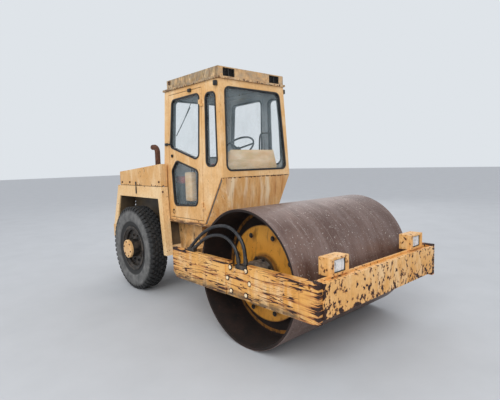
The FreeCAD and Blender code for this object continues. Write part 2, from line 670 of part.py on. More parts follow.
rim_seat = size["rim_radius"]
bead = half_tyre - 44
for name, sign in SIDES:
    hub_inner_r = size["hub_inner_radius"]
    flange = bead + 10
    flange_top = rim_seat + 8
    rim = turned(f"rim_{name}", axle_y, axle_z, [(sign * x, r) for x, r in (
        (-60, spindle + size["pin_play"]), (-60, hub_inner_r), (rim_disc - 18, hub_inner_r), (rim_disc - 18, rim_seat - 14),
        (-flange - 12, rim_seat - 14), (-flange - 12, flange_top), (-flange, flange_top), (-flange, rim_seat),
        (flange, rim_seat), (flange, flange_top), (flange + 12, flange_top), (flange + 12, rim_seat - 14),
        (rim_disc, rim_seat - 14), (rim_disc, size["hub_radius"]), (half_tyre + size["hub_out"], size["hub_radius"]),
        (half_tyre + size["hub_out"], 0), (rim_disc - 25, 0), (rim_disc - 25, spindle + size["pin_play"]))])
    place(rim, sign * tyre_x, axle_y, axle_z)
    keep(rim)
    outside = ((bead, rim_seat), (half_tyre, between(rim_seat, axle_z, 0.15)), (half_tyre, between(rim_seat, axle_z, 0.8)),
               (half_tyre - size["shoulder"], axle_z))
    tyre = turned(f"tyre_{name}", axle_y, axle_z, [(-x, r) for x, r in outside] + [(x, r) for x, r in reversed(outside)])
    place(tyre, sign * tyre_x, axle_y, axle_z)
    keep(tyre)

# Engine block between the frame plates, on two pairs of feet
engine_z = axle_z + size["differential_radius"] + size["engine_clearance"]
engine_y = axle_y - size["engine_front"]
half_engine = size["engine_width"] / 2
engine = new_body("engine_block")
pad(engine, "XY", engine_z, engine_z + size["engine_height"], rectangle(
    -half_engine, half_engine, engine_y, engine_y + size["engine_length"]))
for foot_y in (engine_y + 80, engine_y + size["engine_length"] - 160):
    pad(engine, "XY", engine_z, engine_z + size["foot_height"], rectangle(
        frame_wall - half_frame, half_frame - frame_wall, foot_y, foot_y + 80))
keep(engine)

# Fenders: side panel with its arch, front wall and inner arch walls
body_outer = size["body_half_width"]
body_inner = body_outer - size["fender_wall"]
toe_z = size["fender_bottom"]
skin = size["fender_wall"]
cab_side = size["cab_half_width"] + 15
arch_front_y = toe_back_y + size["leg_lean"]
arch_back_y = axle_y + axle_z + size["arch_back_gap"]
tip_z = size["rear_leg_bottom"]
tip_inner_y = rear_foot_y - size["rear_leg_width"]
fenders = new_body("fenders")
for name, sign in SIDES:
    pad(fenders, "YZ", *sided(sign, body_inner, body_outer), [
        (toe_y, toe_z), (toe_back_y, toe_z), (arch_front_y, arch_z), (arch_back_y, arch_z),
        (tip_inner_y, tip_z), (rear_foot_y, tip_z), (rear_seam_y, seam_z), (seam_front_y, seam_z)])
    pad(fenders, "YZ", *sided(sign, cab_side, body_inner), [
        (toe_y, toe_z), (toe_y + skin, toe_z), (seam_front_y + skin, seam_z), (seam_front_y, seam_z)])
    pad(fenders, "YZ", *sided(sign, size["arch_inner"], body_inner), [
        (toe_back_y - skin, toe_z), (toe_back_y, toe_z), (arch_front_y, arch_z), (arch_back_y, arch_z),
        (tip_inner_y, tip_z), (tip_inner_y + skin, tip_z), (arch_back_y + skin / 2, arch_z + skin),
        (arch_front_y - skin / 2, arch_z + skin)])
    pad(fenders, "YZ", *sided(sign, size["arch_inner"], size["arch_inner"] + 12), [
        (arch_front_y, size["frame_top"] - 40), (arch_back_y, size["frame_top"] - 40),
        (arch_back_y, arch_z), (arch_front_y, arch_z)])
    cut(fenders, "YZ", *sided(sign, size["arch_inner"] - 1, size["cab_half_width"] + size["running_gap"]), rectangle(
        toe_y, drum_y + size["cab_back_sill"] + size["seat_play"],
        size["sill_height"] - size["floor_wall"] - size["seat_play"], arch_z + skin + 1))
keep(fenders)

# Rear wall with its grille, and the bumper
grille_top = seam_z - size["grille_drop"]
grille_bottom = grille_top - size["grille_height"]
rear_wall = new_body("rear_wall")
pad(rear_wall, "YZ", -body_inner, body_inner, [
    (rear_foot_y - skin, tip_z), (rear_foot_y, tip_z), (rear_seam_y, seam_z), (rear_seam_y - skin, seam_z)])
pad(rear_wall, "XY", seam_z - skin, seam_z, rectangle(
    -body_inner, body_inner, rear_seam_y - size["hood_setback"] - size["ledge_inset"], rear_seam_y))
cut(rear_wall, "XZ", rear_seam_y - 10, rear_foot_y + 100, rectangle(
    -size["grille_half_width"], size["grille_half_width"], grille_bottom, grille_top))
hood_rear_y = rear_seam_y - size["hood_setback"]
hood_pin_y = hood_rear_y + size["hood_pin_back"]
hood_pin_z = seam_z + size["hood_pin_height"]
hood_pin = size["hood_pin_radius"]
for name, sign in SIDES:
    for outer in (-11, 25):
        pad(rear_wall, "YZ", *sided(sign, size["hood_pin_offset"] + outer - 14, size["hood_pin_offset"] + outer), rectangle(
            hood_pin_y - hood_pin, hood_pin_y + hood_pin * 2, seam_z, hood_pin_z + hood_pin))
    pad(rear_wall, "YZ", *sided(sign, size["hood_pin_offset"] - 25, size["hood_pin_offset"] + 25), (
        hood_pin_y, hood_pin_z, hood_pin))
keep(rear_wall)
grille = new_body("rear_grille")


def rear_face(height):
    """The rear wall's outer face at a height."""
    return rear_foot_y - size["rear_slope"] * (height - tip_z) / (seam_z - tip_z)


for number in range(1, int(float(size["grille_slats"])) + 1):
    slat_z = between(grille_bottom, grille_top, number / (size["grille_slats"] + 1)) - 15
    pad(grille, "XZ", rear_face(slat_z) - skin, rear_face(slat_z), rectangle(
        -size["grille_half_width"], size["grille_half_width"], slat_z, slat_z + 30))
for edge in (-size["grille_half_width"], -10, size["grille_half_width"] - 20):
    pad(grille, "YZ", edge, edge + 20, [
        (rear_face(grille_bottom) - skin, grille_bottom),
        (rear_face(grille_bottom) - skin / 2, grille_bottom),
        (rear_face(grille_top) - skin / 2, grille_top),
        (rear_face(grille_top) - skin, grille_top)])
keep(grille)
plate("rear_bumper", "XY", size["bumper_bottom"], tip_z, rectangle(
    -body_outer, body_outer, frame_back, rear_y))

# Hood: a shell that tips up about its rear edge, with the exhaust pipe on it
def hood_top(y):
    """The hood's top face at a place along the machine."""
    share = (y - seam_front_y) / (hood_rear_y - seam_front_y)
    return between(hood_front_z, hood_rear_z, share)


hood_front_y = drum_y + size["cab_back_sill"] + size["hood_front_gap"]
hood_low = seam_z + size["running_gap"]
hood = new_body("hood")
pad(hood, "XY", hood_low, hood_front_z, [
    (-body_outer, seam_front_y), (-cab_side, seam_front_y), (-cab_side, hood_front_y), (cab_side, hood_front_y),
    (cab_side, seam_front_y), (body_outer, seam_front_y), (body_outer, hood_rear_y), (-body_outer, hood_rear_y)])
cut(hood, "YZ", -body_outer - 1, body_outer + 1, [
    (seam_front_y, hood_front_z), (hood_rear_y + 1, hood_rear_z),
    (hood_rear_y + 1, hood_front_z + 1), (seam_front_y, hood_front_z + 1)])
shell = size["hood_wall"]
cut(hood, "YZ", -body_outer + shell, body_outer - shell, [
    (hood_front_y + shell, hood_low - 1), (hood_rear_y - shell, hood_low - 1),
    (hood_rear_y - shell, hood_rear_z - shell), (hood_front_y + shell, hood_front_z - shell * 2.5)])
for name, sign in SIDES:
    ear_top = hood_front_z - shell * 2.5
    cut(hood, "YZ", *sided(sign, cab_side + shell, body_outer - shell), rectangle(
        seam_front_y + shell, hood_front_y + shell + 1, hood_low - 1, ear_top))
    eye_x = sided(sign, size["hood_pin_offset"] - 10, size["hood_pin_offset"] + 10)
    pad(hood, "YZ", *eye_x, (hood_pin_y, hood_pin_z, hood_pin * 1.8))
    pad(hood, "YZ", *eye_x, rectangle(hood_rear_y - shell, hood_pin_y, hood_pin_z - hood_pin, hood_pin_z + hood_pin))
    cut(hood, "YZ", *eye_x, (hood_pin_y, hood_pin_z, hood_pin + size["pin_play"]))
keep(hood)
pipe_x = -size["exhaust_offset"]
pipe_y = axle_y + size["exhaust_back"]
pipe_foot = hood_top(pipe_y) - shell
pipe_z = seam_z + size["exhaust_rise"] - size["exhaust_radius"]
outer_pipe, inner_pipe = (tube([
    (pipe_x, pipe_y, pipe_foot), (pipe_x, pipe_y, pipe_z),
    (pipe_x, pipe_y + size["exhaust_bend"] + size["exhaust_tail"], pipe_z)], [size["exhaust_bend"]], radius)
    for radius in (size["exhaust_radius"], size["exhaust_radius"] - size["exhaust_wall"]))
doc.recompute()
shape_piece("exhaust_pipe", outer_pipe.cut([inner_pipe, hood.Shape]))

# Cab: lower front with its slanted corners, side walls around the doors, windscreen frame, rear wall, roof
sill_z = size["sill_height"]
fold_z = size["fold_height"]
eaves_z = size["eaves_height"]
wall = size["cab_wall"]
half_cab = size["cab_half_width"]
lean = slope_angle(half_cab - size["roof_half_width"], eaves_z - sill_z)
nose_y = drum_y + size["cab_nose"]
brow_y = drum_y + size["cab_brow"]
rake = slope_angle(brow_y - nose_y, eaves_z - fold_z)
back_sill_y = drum_y + size["cab_back_sill"]
back_eaves_y = drum_y + size["cab_back_eaves"]


def front_face(height):
    """The cab's front face above the fold."""
    return nose_y + (brow_y - nose_y) * (height - fold_z) / (eaves_z - fold_z)


def back_face(height):
    """The cab's rear face."""
    return back_sill_y + (back_eaves_y - back_sill_y) * (height - sill_z) / (eaves_z - sill_z)


def side_face(height):
    """Half the width of the cab at a height."""
    return half_cab + (size["roof_half_width"] - half_cab) * (height - sill_z) / (eaves_z - sill_z)


door_y = drum_y + size["door_front"]
door_back_low = drum_y + size["door_back_sill"]
door_back_high = drum_y + size["door_back_eaves"]
door_low_z = sill_z + size["door_sill"]
door_high_z = eaves_z - size["door_head"]
gap = size["running_gap"]
DOOR_OUTLINE = [(door_y, door_low_z), (door_back_low, door_low_z),
                (door_back_high, door_high_z), (door_y, door_high_z)]
DOOR_HOLE = [(door_y - gap, door_low_z - gap), (door_back_low + gap, door_low_z - gap),
             (door_back_high + gap, door_high_z + gap), (door_y - gap, door_high_z + gap)]
# Corners of the windows, from the edges of the door and of the cab
pillar = size["pillar"]
UPPER_WINDOW = [(door_y + pillar + 10, door_low_z + 855), (door_y + pillar + 106, door_low_z + 825),
                (door_back_low - 22, door_low_z + 1015), (door_back_high - 75, door_high_z - pillar - 10),
                (door_y + pillar - 25, door_high_z - pillar)]
LOWER_WINDOW = [(door_y + pillar + 65, door_low_z + 185), (door_back_low - 110, door_low_z + 155),
                (door_back_low - pillar, door_low_z + 685), (door_back_low - 190, door_low_z + 835),
                (door_y + pillar + 35, door_low_z + 685)]
QUARTER_WINDOW = [(nose_y + 103, fold_z + 205), (nose_y + 165, fold_z + 140), (door_y - 80, fold_z + 135),
                  (door_y - 80, eaves_z - 140), (nose_y + 130, eaves_z - 150)]


def local(corners):
    """Corners measured from the sill line, as the leaning side walls hold them."""
    return [(u, v - sill_z) for u, v in corners]


def lean_side(body, sign):
    """Stand a side piece on the sill and lean it in."""
    place(body, sign * half_cab, 0, sill_z, axis=(0, -sign, 0), angle=lean)


depth = wall + size["seat_play"]
side_low = sill_z + wall * sine(lean)
pane_low = -wall / 2 - size["glass_wall"] / 2
pane_high = -wall / 2 + size["glass_wall"] / 2
pin_y = door_y - gap / 2
pin_out = size["door_pin_out"]
eye = size["door_eye_radius"]
bore = size["door_pin_radius"] + size["pin_play"]
HINGES = (size["door_hinge_low"], size["door_hinge_high"])
panes = []
for name, sign in SIDES:
    slab = sided(sign, -wall, 0)
    pane = sided(sign, pane_low, pane_high)
    side_wall = new_body(f"cab_side_{name}")
    pad(side_wall, "YZ", *slab, local([
        (drum_y + size["cab_toe_side"] + depth, side_low), (back_sill_y - depth, side_low), (back_eaves_y - depth, eaves_z),
        (brow_y + depth, eaves_z), (nose_y + depth, fold_z)]), local(DOOR_HOLE), local(QUARTER_WINDOW))
    round_corners(side_wall, "YZ", local(QUARTER_WINDOW), size["corner_radius"])
    for hinge in HINGES:
        pad(side_wall, "XY", hinge - size["door_hinge_length"] / 2, hinge, (sign * pin_out, pin_y, eye))
        pad(side_wall, "XY", hinge - size["door_hinge_length"] / 2, hinge, rectangle(
            *sided(sign, -1, pin_out), door_y - gap - 45, door_y - gap))
        pad(side_wall, "XY", hinge, hinge + size["door_hinge_length"], (sign * pin_out, pin_y, size["door_pin_radius"]))
    lean_side(side_wall, sign)
    keep(side_wall)
    door = new_body(f"door_{name}")
    pad(door, "YZ", *slab, local(DOOR_OUTLINE), local(UPPER_WINDOW), local(LOWER_WINDOW))
    round_corners(door, "YZ", local(UPPER_WINDOW + LOWER_WINDOW), size["corner_radius"])
    for hinge in HINGES:
        eye_z = (hinge + size["seat_play"], hinge + size["door_hinge_length"] - 2)
        pad(door, "XY", *eye_z, (sign * pin_out, pin_y, eye))
        pad(door, "XY", *eye_z, rectangle(*sided(sign, -1, pin_out), door_y + gap / 2, door_y + 45))
        cut(door, "XY", *eye_z, (sign * pin_out, pin_y, bore))
    lean_side(door, sign)
    keep(door)
    glass = new_body(f"door_glass_{name}")
    pad(glass, "YZ", *pane, local(UPPER_WINDOW))
    pad(glass, "YZ", *pane, local(LOWER_WINDOW))
    round_corners(glass, "YZ", local(UPPER_WINDOW + LOWER_WINDOW), size["corner_radius"])
    lean_side(glass, sign)
    keep(glass)
    quarter = new_body(f"quarter_glass_{name}")
    pad(quarter, "YZ", *pane, local(QUARTER_WINDOW))
    round_corners(quarter, "YZ", local(QUARTER_WINDOW), size["corner_radius"])
    lean_side(quarter, sign)
    panes.append(quarter)

fold_half = side_face(fold_z)
eaves_half = side_face(eaves_z)
front_top = (eaves_z - fold_z) / cosine(rake)
SCREEN_LOW, SCREEN_HIGH = fold_half - 58, eaves_half - 88
WINDSCREEN = [(-SCREEN_LOW, 75), (SCREEN_LOW, 75), (SCREEN_HIGH, front_top - 87), (-SCREEN_HIGH, front_top - 87)]
front_frame = new_body("windscreen_frame")
pad(front_frame, "XZ", 0, wall, [
    (-fold_half, 0), (fold_half, 0), (eaves_half, front_top), (-eaves_half, front_top)], WINDSCREEN)
round_corners(front_frame, "XZ", WINDSCREEN, size["corner_radius"])
place(front_frame, 0, nose_y, fold_z, axis=(-1, 0, 0), angle=rake)
keep(front_frame)
screen = new_body("windscreen")
pad(screen, "XZ", -pane_high, -pane_low, WINDSCREEN)
round_corners(screen, "XZ", WINDSCREEN, size["corner_radius"])
place(screen, 0, nose_y, fold_z, axis=(-1, 0, 0), angle=rake)
panes.append(screen)

# Rear wall of the cab
tilt_back = slope_angle(back_sill_y - back_eaves_y, eaves_z - sill_z)
back_low = wall * sine(tilt_back)
back_top = (eaves_z - sill_z) / cosine(tilt_back)
REAR_LOW, REAR_HIGH = half_cab - 155, eaves_half - 140
glass_low = hood_front_z - sill_z + 75
REAR_WINDOW = [(-REAR_LOW, glass_low), (REAR_LOW, glass_low), (REAR_HIGH, back_top - 103), (-REAR_HIGH, back_top - 103)]
cab_rear = new_body("cab_rear")
pad(cab_rear, "XZ", -wall, 0, [
    (-half_cab, back_low), (half_cab, back_low), (eaves_half, back_top), (-eaves_half, back_top)], REAR_WINDOW)
round_corners(cab_rear, "XZ", REAR_WINDOW, size["corner_radius"])
place(cab_rear, 0, back_sill_y, sill_z, axis=(1, 0, 0), angle=tilt_back)
keep(cab_rear)
rear_glass = new_body("rear_window")
pad(rear_glass, "XZ", pane_low, pane_high, REAR_WINDOW)
round_corners(rear_glass, "XZ", REAR_WINDOW, size["corner_radius"])
place(rear_glass, 0, back_sill_y, sill_z, axis=(1, 0, 0), angle=tilt_back)
panes.append(rear_glass)
cab_glass = doc.addObject("Part::Compound", "cab_glass")
cab_glass.Links = panes
keep(cab_glass)

roof_z = eaves_z + size["roof_rise"]
# Roof: a flat box with a gutter and two vents in its front
roof = new_body("cab_roof")
eaves_front = brow_y - size["gutter"]
eaves_back = back_eaves_y + size["gutter"]
pad(roof, "XY", eaves_z, eaves_z + size["gutter_height"], rectangle(
    -eaves_half - size["gutter"], eaves_half + size["gutter"], eaves_front, eaves_back))
pad(roof, "XY", eaves_z + size["gutter_height"], roof_z, rectangle(
    -eaves_half, eaves_half, brow_y, back_eaves_y - size["roof_back_inset"]))
cut(roof, "XY", eaves_z - 1, roof_z - size["roof_wall"], rectangle(
    -eaves_half + wall, eaves_half - wall, brow_y + wall * 2, back_eaves_y - size["roof_back_inset"] - wall))
for name, sign in SIDES:
    vent = sided(sign, size["vent_offset"] - size["vent_width"] / 2, size["vent_offset"] + size["vent_width"] / 2)
    cut(roof, "XZ", brow_y - 1, brow_y + 40, rectangle(
        *vent, roof_z - size["vent_drop"] - size["vent_height"], roof_z - size["vent_drop"]))
keep(roof)

# Floor of the cab, with the sill strips along its sides
floor = new_body("cab_floor")
pad(floor, "XY", sill_z - size["floor_wall"], sill_z, [
    (-half_cab, drum_y + size["cab_toe_side"]), (-size["cab_toe_half_width"], drum_y + size["cab_toe"]),
    (size["cab_toe_half_width"], drum_y + size["cab_toe"]), (half_cab, drum_y + size["cab_toe_side"]),
    (half_cab, back_sill_y), (-half_cab, back_sill_y)])
keep(floor)


# Lower front: the middle panel and the two slanted corner panels, one folded sheet
def flat_solid(corners, depth):
    """A flat sheet through the corners, as thick as depth towards the inside."""
    points = [FreeCAD.Vector(*(float(value) for value in corner)) for corner in corners]
    normal = (points[1] - points[0]).cross(points[2] - points[0]).normalize()
    return Part.Face(Part.makePolygon(points + points[:1])).extrude(normal * depth)


def mirrored(corner):
    return (-corner[0], corner[1], corner[2])


fold_corner = (-fold_half, nose_y, fold_z)
toe_corner = (-size["cab_toe_half_width"], drum_y + size["cab_toe"], sill_z)
sill_corner = (-half_cab, drum_y + size["cab_toe_side"], sill_z)
doc.recompute()
sheets = [flat_solid([toe_corner, fold_corner, mirrored(fold_corner), mirrored(toe_corner)], float(wall))]
sheets.append(flat_solid([sill_corner, fold_corner, toe_corner], float(wall)))
sheets.append(flat_solid([mirrored(toe_corner), mirrored(fold_corner), mirrored(sill_corner)], float(wall)))
lower_front = sheets[0].fuse(sheets[1:])
reach = float(half_cab) + 100
lower_top = float(fold_z - wall * sine(rake))
room = Part.makeBox(reach * 2, reach * 2, lower_top - float(sill_z), FreeCAD.Vector(-reach, float(nose_y) - 10, float(sill_z)))
lower_front = lower_front.common(room)
for neighbour in ("cab_side_right", "cab_side_left", "cab_floor", "windscreen_frame"):
    lower_front = lower_front.cut(doc.getObject(neighbour).Shape)
shape_piece("cab_lower_front", lower_front.removeSplitter())

# Driver's place
seat_z = size["seat_height"]
seat = new_body("seat")
seat_y = drum_y + size["seat_back"]
cushion_z = seat_z - size["seat_cushion"]
pad(seat, "XY", cushion_z, seat_z, rectangle(-size["seat_width"] / 2, size["seat_width"] / 2,
                                                 seat_y, seat_y + size["seat_depth"]))
pad(seat, "XY", cushion_z, seat_z + size["seat_rest"], rectangle(-size["seat_width"] / 2, size["seat_width"] / 2,
                                                       seat_y + size["seat_depth"] - 90, seat_y + size["seat_depth"]))
pad(seat, "XY", sill_z, cushion_z, rectangle(-180, 180, seat_y + 60, seat_y + size["seat_depth"] - 60))
keep(seat)
dashboard = new_body("dashboard")
dash_y = drum_y + size["dash_front"]
dash_z = size["wheel_height"] - size["dash_drop"]
tilt_wheel = size["wheel_tilt"]
pad(dashboard, "YZ", -size["dash_half_width"], size["dash_half_width"], [
    (dash_y + size["dash_foot_front"], sill_z), (dash_y + size["dash_foot"], sill_z), (dash_y + size["dash_foot"] - 50, dash_z - 220),
    (dash_y + size["dash_length"] * cosine(tilt_wheel), dash_z - size["dash_length"] * sine(tilt_wheel)),
    (dash_y, dash_z), (dash_y, dash_z - 230)])
keep(dashboard)

wheel_y = dash_y + size["wheel_back"]
wheel_z = size["wheel_height"]
steering_wheel = new_body("steering_wheel")
sketch = sketch_on(steering_wheel, "XZ", 0, [(size["wheel_rim_radius"], 0, size["wheel_tube_radius"])])
rim = steering_wheel.newObject("PartDesign::Revolution", "steering_wheel_rim")
rim.Profile = sketch
rim.ReferenceAxis = (sketch, ["V_Axis"])
steering_wheel.Tip = rim
pad(steering_wheel, "XY", -25, 12, (0, 0, 38))
for turn in (90, 210, 330):
    along = FreeCAD.Vector(math.cos(math.radians(turn)), math.sin(math.radians(turn)), 0)
    across = FreeCAD.Vector(-along.y, along.x, 0) * 14
    reach = size["wheel_rim_radius"]
    pad(steering_wheel, "XY", -6, 6, [
        (across.x, across.y), (-across.x, -across.y),
        (reach * along.x - across.x, reach * along.y - across.y),
        (reach * along.x + across.x, reach * along.y + across.y)])
place(steering_wheel, 0, wheel_y, wheel_z, axis=(-1, 0, 0), angle=size["wheel_tilt"])
keep(steering_wheel)
steering_column = new_body("steering_column")
column_foot = (wheel_y - dash_y) * sine(tilt_wheel) + (wheel_z - dash_z) * cosine(tilt_wheel)
pad(steering_column, "XY", -column_foot, -25 - size["pin_play"], (0, 0, 30))
place(steering_column, 0, wheel_y, wheel_z, axis=(-1, 0, 0), angle=size["wheel_tilt"])
keep(steering_column)

# Hoses from a block on the right beam to the fittings in its notch
hose_x = -(beam_inner + size["beam_depth"] * 0.42)
hose_r = size["hose_radius"]
HOSE_ROUTES = (
    ((930, 950), (850, 1030), (715, 1135), (590, 1210), (445, 1272), (290, 1305), (150, 1302), (30, 1250),
     (-55, 1165), (-95, 1060), (-100, 905)),
    ((868, 953), (790, 1003), (690, 1072), (560, 1145), (420, 1185), (290, 1195), (180, 1172), (90, 1115),
     (30, 1035), (8, 905)),
)
beam_high = size["beam_top"]
fittings = new_body("hose_fittings")
pad(fittings, "XY", beam_high, beam_high + 40, rectangle(hose_x - 25, hose_x + 25, drum_y + 815, drum_y + 950))
pad(fittings, "XY", notch_z, notch_z + 45, rectangle(hose_x - 25, hose_x + 25, drum_y - 135, drum_y + 45))
keep(fittings)
doc.recompute()
hoses = []
for route in HOSE_ROUTES:
    corners = [(hose_x, drum_y + y, sized(z)) for y, z in route]
    runs = [math.dist([float(v) for v in a], [float(v) for v in b]) for a, b in zip(corners, corners[1:])]
    bends = []
    for number in range(1, len(corners) - 1):
        before, corner, after = (FreeCAD.Vector(*(float(v) for v in corners[number + step])) for step in (-1, 0, 1))
        turn = (corner - before).getAngle(after - corner)
        bends.append(0.45 * min(runs[number - 1], runs[number]) / math.tan(turn / 2))
    print("hose bend radii", [round(bend) for bend in bends])
    hoses.append(tube(corners, bends, hose_r).cut(fittings.Shape))
shape_piece("hoses", Part.Compound(hoses))

doc.recompute()
os.makedirs("parts", exist_ok=True)
for thing in doc.Objects:
    if {"Invalid", "Error"} & set(thing.State):
        raise ValueError(f"{thing.Label} failed: {thing.State}")
for piece in pieces:
    if piece.Shape.isNull() or not piece.Shape.isValid():
        raise ValueError(f"{piece.Label} has no valid shape")
for piece in pieces:
    piece.Shape.exportStep(f"parts/{piece.Label}.step")
    box = piece.Shape.BoundBox
    print(piece.Label, len(piece.Shape.Solids), round(piece.Shape.Volume / 1e6, 2),
          [round(v) for v in (box.XMin, box.XMax, box.YMin, box.YMax, box.ZMin, box.ZMax)])
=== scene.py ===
import math

import bpy
from mathutils import Matrix, Vector


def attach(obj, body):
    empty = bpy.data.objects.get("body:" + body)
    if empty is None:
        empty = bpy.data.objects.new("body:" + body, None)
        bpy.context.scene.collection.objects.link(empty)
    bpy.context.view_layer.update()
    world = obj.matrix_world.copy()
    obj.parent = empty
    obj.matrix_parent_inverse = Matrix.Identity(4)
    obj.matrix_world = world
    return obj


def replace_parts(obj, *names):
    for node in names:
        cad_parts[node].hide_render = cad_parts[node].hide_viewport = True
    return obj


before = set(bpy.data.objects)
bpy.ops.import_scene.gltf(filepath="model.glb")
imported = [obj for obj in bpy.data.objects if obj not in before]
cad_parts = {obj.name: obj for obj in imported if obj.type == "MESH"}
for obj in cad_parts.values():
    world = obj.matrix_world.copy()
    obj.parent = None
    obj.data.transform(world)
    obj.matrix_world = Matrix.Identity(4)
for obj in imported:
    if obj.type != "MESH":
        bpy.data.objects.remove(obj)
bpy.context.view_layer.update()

# Camera: it stands ahead of the right front corner, at a grown-up's eye height, and looks across the
# drum at the cab. Yaw, pitch and roll are in radians; the focal length is in pixels of a 500 wide frame.
YAW, PITCH, ROLL = 0.732, 0.092, 0.027
STANDS_AT = (-3.794, -4.611, 1.982)
FOCAL_PIXELS, FRAME_PIXELS, SENSOR = 406.445, 500, 36
forward = Vector((math.sin(YAW) * math.cos(PITCH), math.cos(YAW) * math.cos(PITCH), -math.sin(PITCH)))
level = Vector((math.cos(YAW), -math.sin(YAW), 0))
plumb = forward.cross(level)
right = math.cos(ROLL) * level + math.sin(ROLL) * plumb
down = -math.sin(ROLL) * level + math.cos(ROLL) * plumb
camera = bpy.data.objects.new("camera", bpy.data.cameras.new("camera"))
bpy.context.scene.collection.objects.link(camera)
turned = Matrix((right, -down, -forward)).transposed().to_4x4()
camera.matrix_world = Matrix.Translation(STANDS_AT) @ turned
camera.data.sensor_width = SENSOR
camera.data.lens = FOCAL_PIXELS * SENSOR / FRAME_PIXELS
bpy.context.scene.camera = camera


# Hydraulic hoses: two rubber hoses of 40 mm rise from a block on the right beam, arch over it and dive
# into the fittings in the beam's notch beside the drum motor. They are stiff enough to stand in the arch.
def colour(code):
    """An sRGB hex colour as linear red, green, blue and alpha."""
    shares = [int(code[i:i + 2], 16) / 255 for i in (1, 3, 5)]
    return [s / 12.92 if s <= 0.04045 else ((s + 0.055) / 1.055) ** 2.4 for s in shares] + [1]


def add(near, kind, links=None, **settings):
    """A shader node in the tree that holds near; links gives an input its value, a node or an output."""
    tree = near.id_data
    node = tree.nodes.new("ShaderNode" + kind)
    for key, value in settings.items():
        setattr(node, key, value)
    for key, value in (links or {}).items():
        if isinstance(value, bpy.types.Node):
            value = value.outputs[0]
        if isinstance(value, bpy.types.NodeSocket):
            tree.links.new(value, node.inputs[key])
        else:
            node.inputs[key].default_value = value
    return node


def start(name, roughness, metallic=0.0, ior=None):
    """A new material: the material, its shader and its object coordinates."""
    material = bpy.data.materials.new(name)
    material.use_nodes = True
    shader = material.node_tree.nodes["Principled BSDF"]
    shader.inputs["Roughness"].default_value = roughness
    shader.inputs["Metallic"].default_value = metallic
    if ior:
        shader.inputs["IOR"].default_value = ior
    return material, shader, add(shader, "TexCoord").outputs["Object"]


def patches(spot, size, low, high, most=1.0, detail=5, least=0.0):
    """Patches of a size in metres, one for all or for each of x, y and z: most inside, least outside."""
    sizes = size if isinstance(size, tuple) else (size, size, size)
    mapped = add(spot, "Mapping", {"Vector": spot, "Scale": [1 / s for s in sizes]})
    noise = add(spot, "TexNoise", {"Vector": mapped, "Scale": 1.0, "Detail": detail, "Roughness": 0.6})
    return add(spot, "MapRange", {0: noise, 1: low, 2: high, 3: least, 4: most})


def coat(below, above, *shares):
    """A colour laid over another where all shares are 1; a colour is a hex code or an output."""
    share = shares[0]
    for other in shares[1:]:
        share = add(share, "Math", {0: share, 1: other}, operation="MULTIPLY")
    below, above = [colour(c) if isinstance(c, str) else c for c in (below, above)]
    return add(share, "Mix", {0: share, 6: below, 7: above}, data_type="RGBA").outputs[2]


def skin(shader, shade, relief=None, depth=0.0005, **patterns):
    """Give the shader its colour, a relief so many metres deep, and patterns for its other inputs."""
    if relief is not None:
        patterns["Normal"] = add(shader, "Bump", {"Height": relief, "Distance": depth, "Strength": 1.0})
    links = shader.id_data.links
    links.new(shade, shader.inputs["Base Color"])
    for key, pattern in patterns.items():
        links.new(pattern.outputs[0], shader.inputs[key])


def mottled(name, roughness, shades, patch, grain=None, metallic=0.0, ior=None):
    """A finish of two shades. A patch is its size, low and high; a grain is its width, depth and detail."""
    material, shader, spot = start(name, roughness, metallic, ior)
    shade = coat(*shades, patches(spot, *patch))
    if grain:
        width, depth, detail = grain
        skin(shader, shade, patches(spot, width, 0, 1, detail=detail), depth)
    else:
        skin(shader, shade)
    return material


def smooth_line(name, points, radius, steps_along, steps_around):
    """A round tube on a smooth line that the points pull along."""
    curve = bpy.data.curves.new(name, "CURVE")
    curve.dimensions = "3D"
    line = curve.splines.new("NURBS")
    line.points.add(len(points) - 1)
    for point, place in zip(line.points, points):
        point.co = (*place, 1)
    line.order_u = 3
    line.use_endpoint_u = True
    line.resolution_u = steps_along
    curve.bevel_depth = radius
    curve.bevel_resolution = steps_around
    curve.use_fill_caps = True
    piece = bpy.data.objects.new(name, curve)
    bpy.context.scene.collection.objects.link(piece)
    return piece


HOSE_ROUTES = (  # y and z in metres, from the block to the fitting
    ((-0.481, 0.950), (-0.561, 1.030), (-0.696, 1.135), (-0.821, 1.210), (-0.966, 1.272), (-1.121, 1.305),
     (-1.261, 1.302), (-1.381, 1.250), (-1.466, 1.165), (-1.506, 1.060), (-1.511, 0.905)),
    ((-0.543, 0.953), (-0.621, 1.003), (-0.721, 1.072), (-0.851, 1.145), (-0.991, 1.185), (-1.121, 1.195),
     (-1.231, 1.172), (-1.321, 1.115), (-1.381, 1.035), (-1.403, 0.905)),
)
HOSE_X, HOSE_RADIUS = -1.0902, 0.0195
# Vulcanised rubber, black, with grey dust; the cloth wrap leaves a weave, which is drawn at 4 mm
hose_rubber = mottled("hose_rubber", 0.42, ("#161619", "#444345"), (0.05, 0.5, 0.8), (0.004, 0.0006, 2),
                      ior=1.52)
for number, route in enumerate(HOSE_ROUTES, start=1):
    hose = smooth_line(f"hose_{number}", [(HOSE_X, y, z) for y, z in route], HOSE_RADIUS, 8, 6)
    hose.data.materials.append(hose_rubber)
    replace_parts(hose, "hoses")
    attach(hose, "drum_frame")


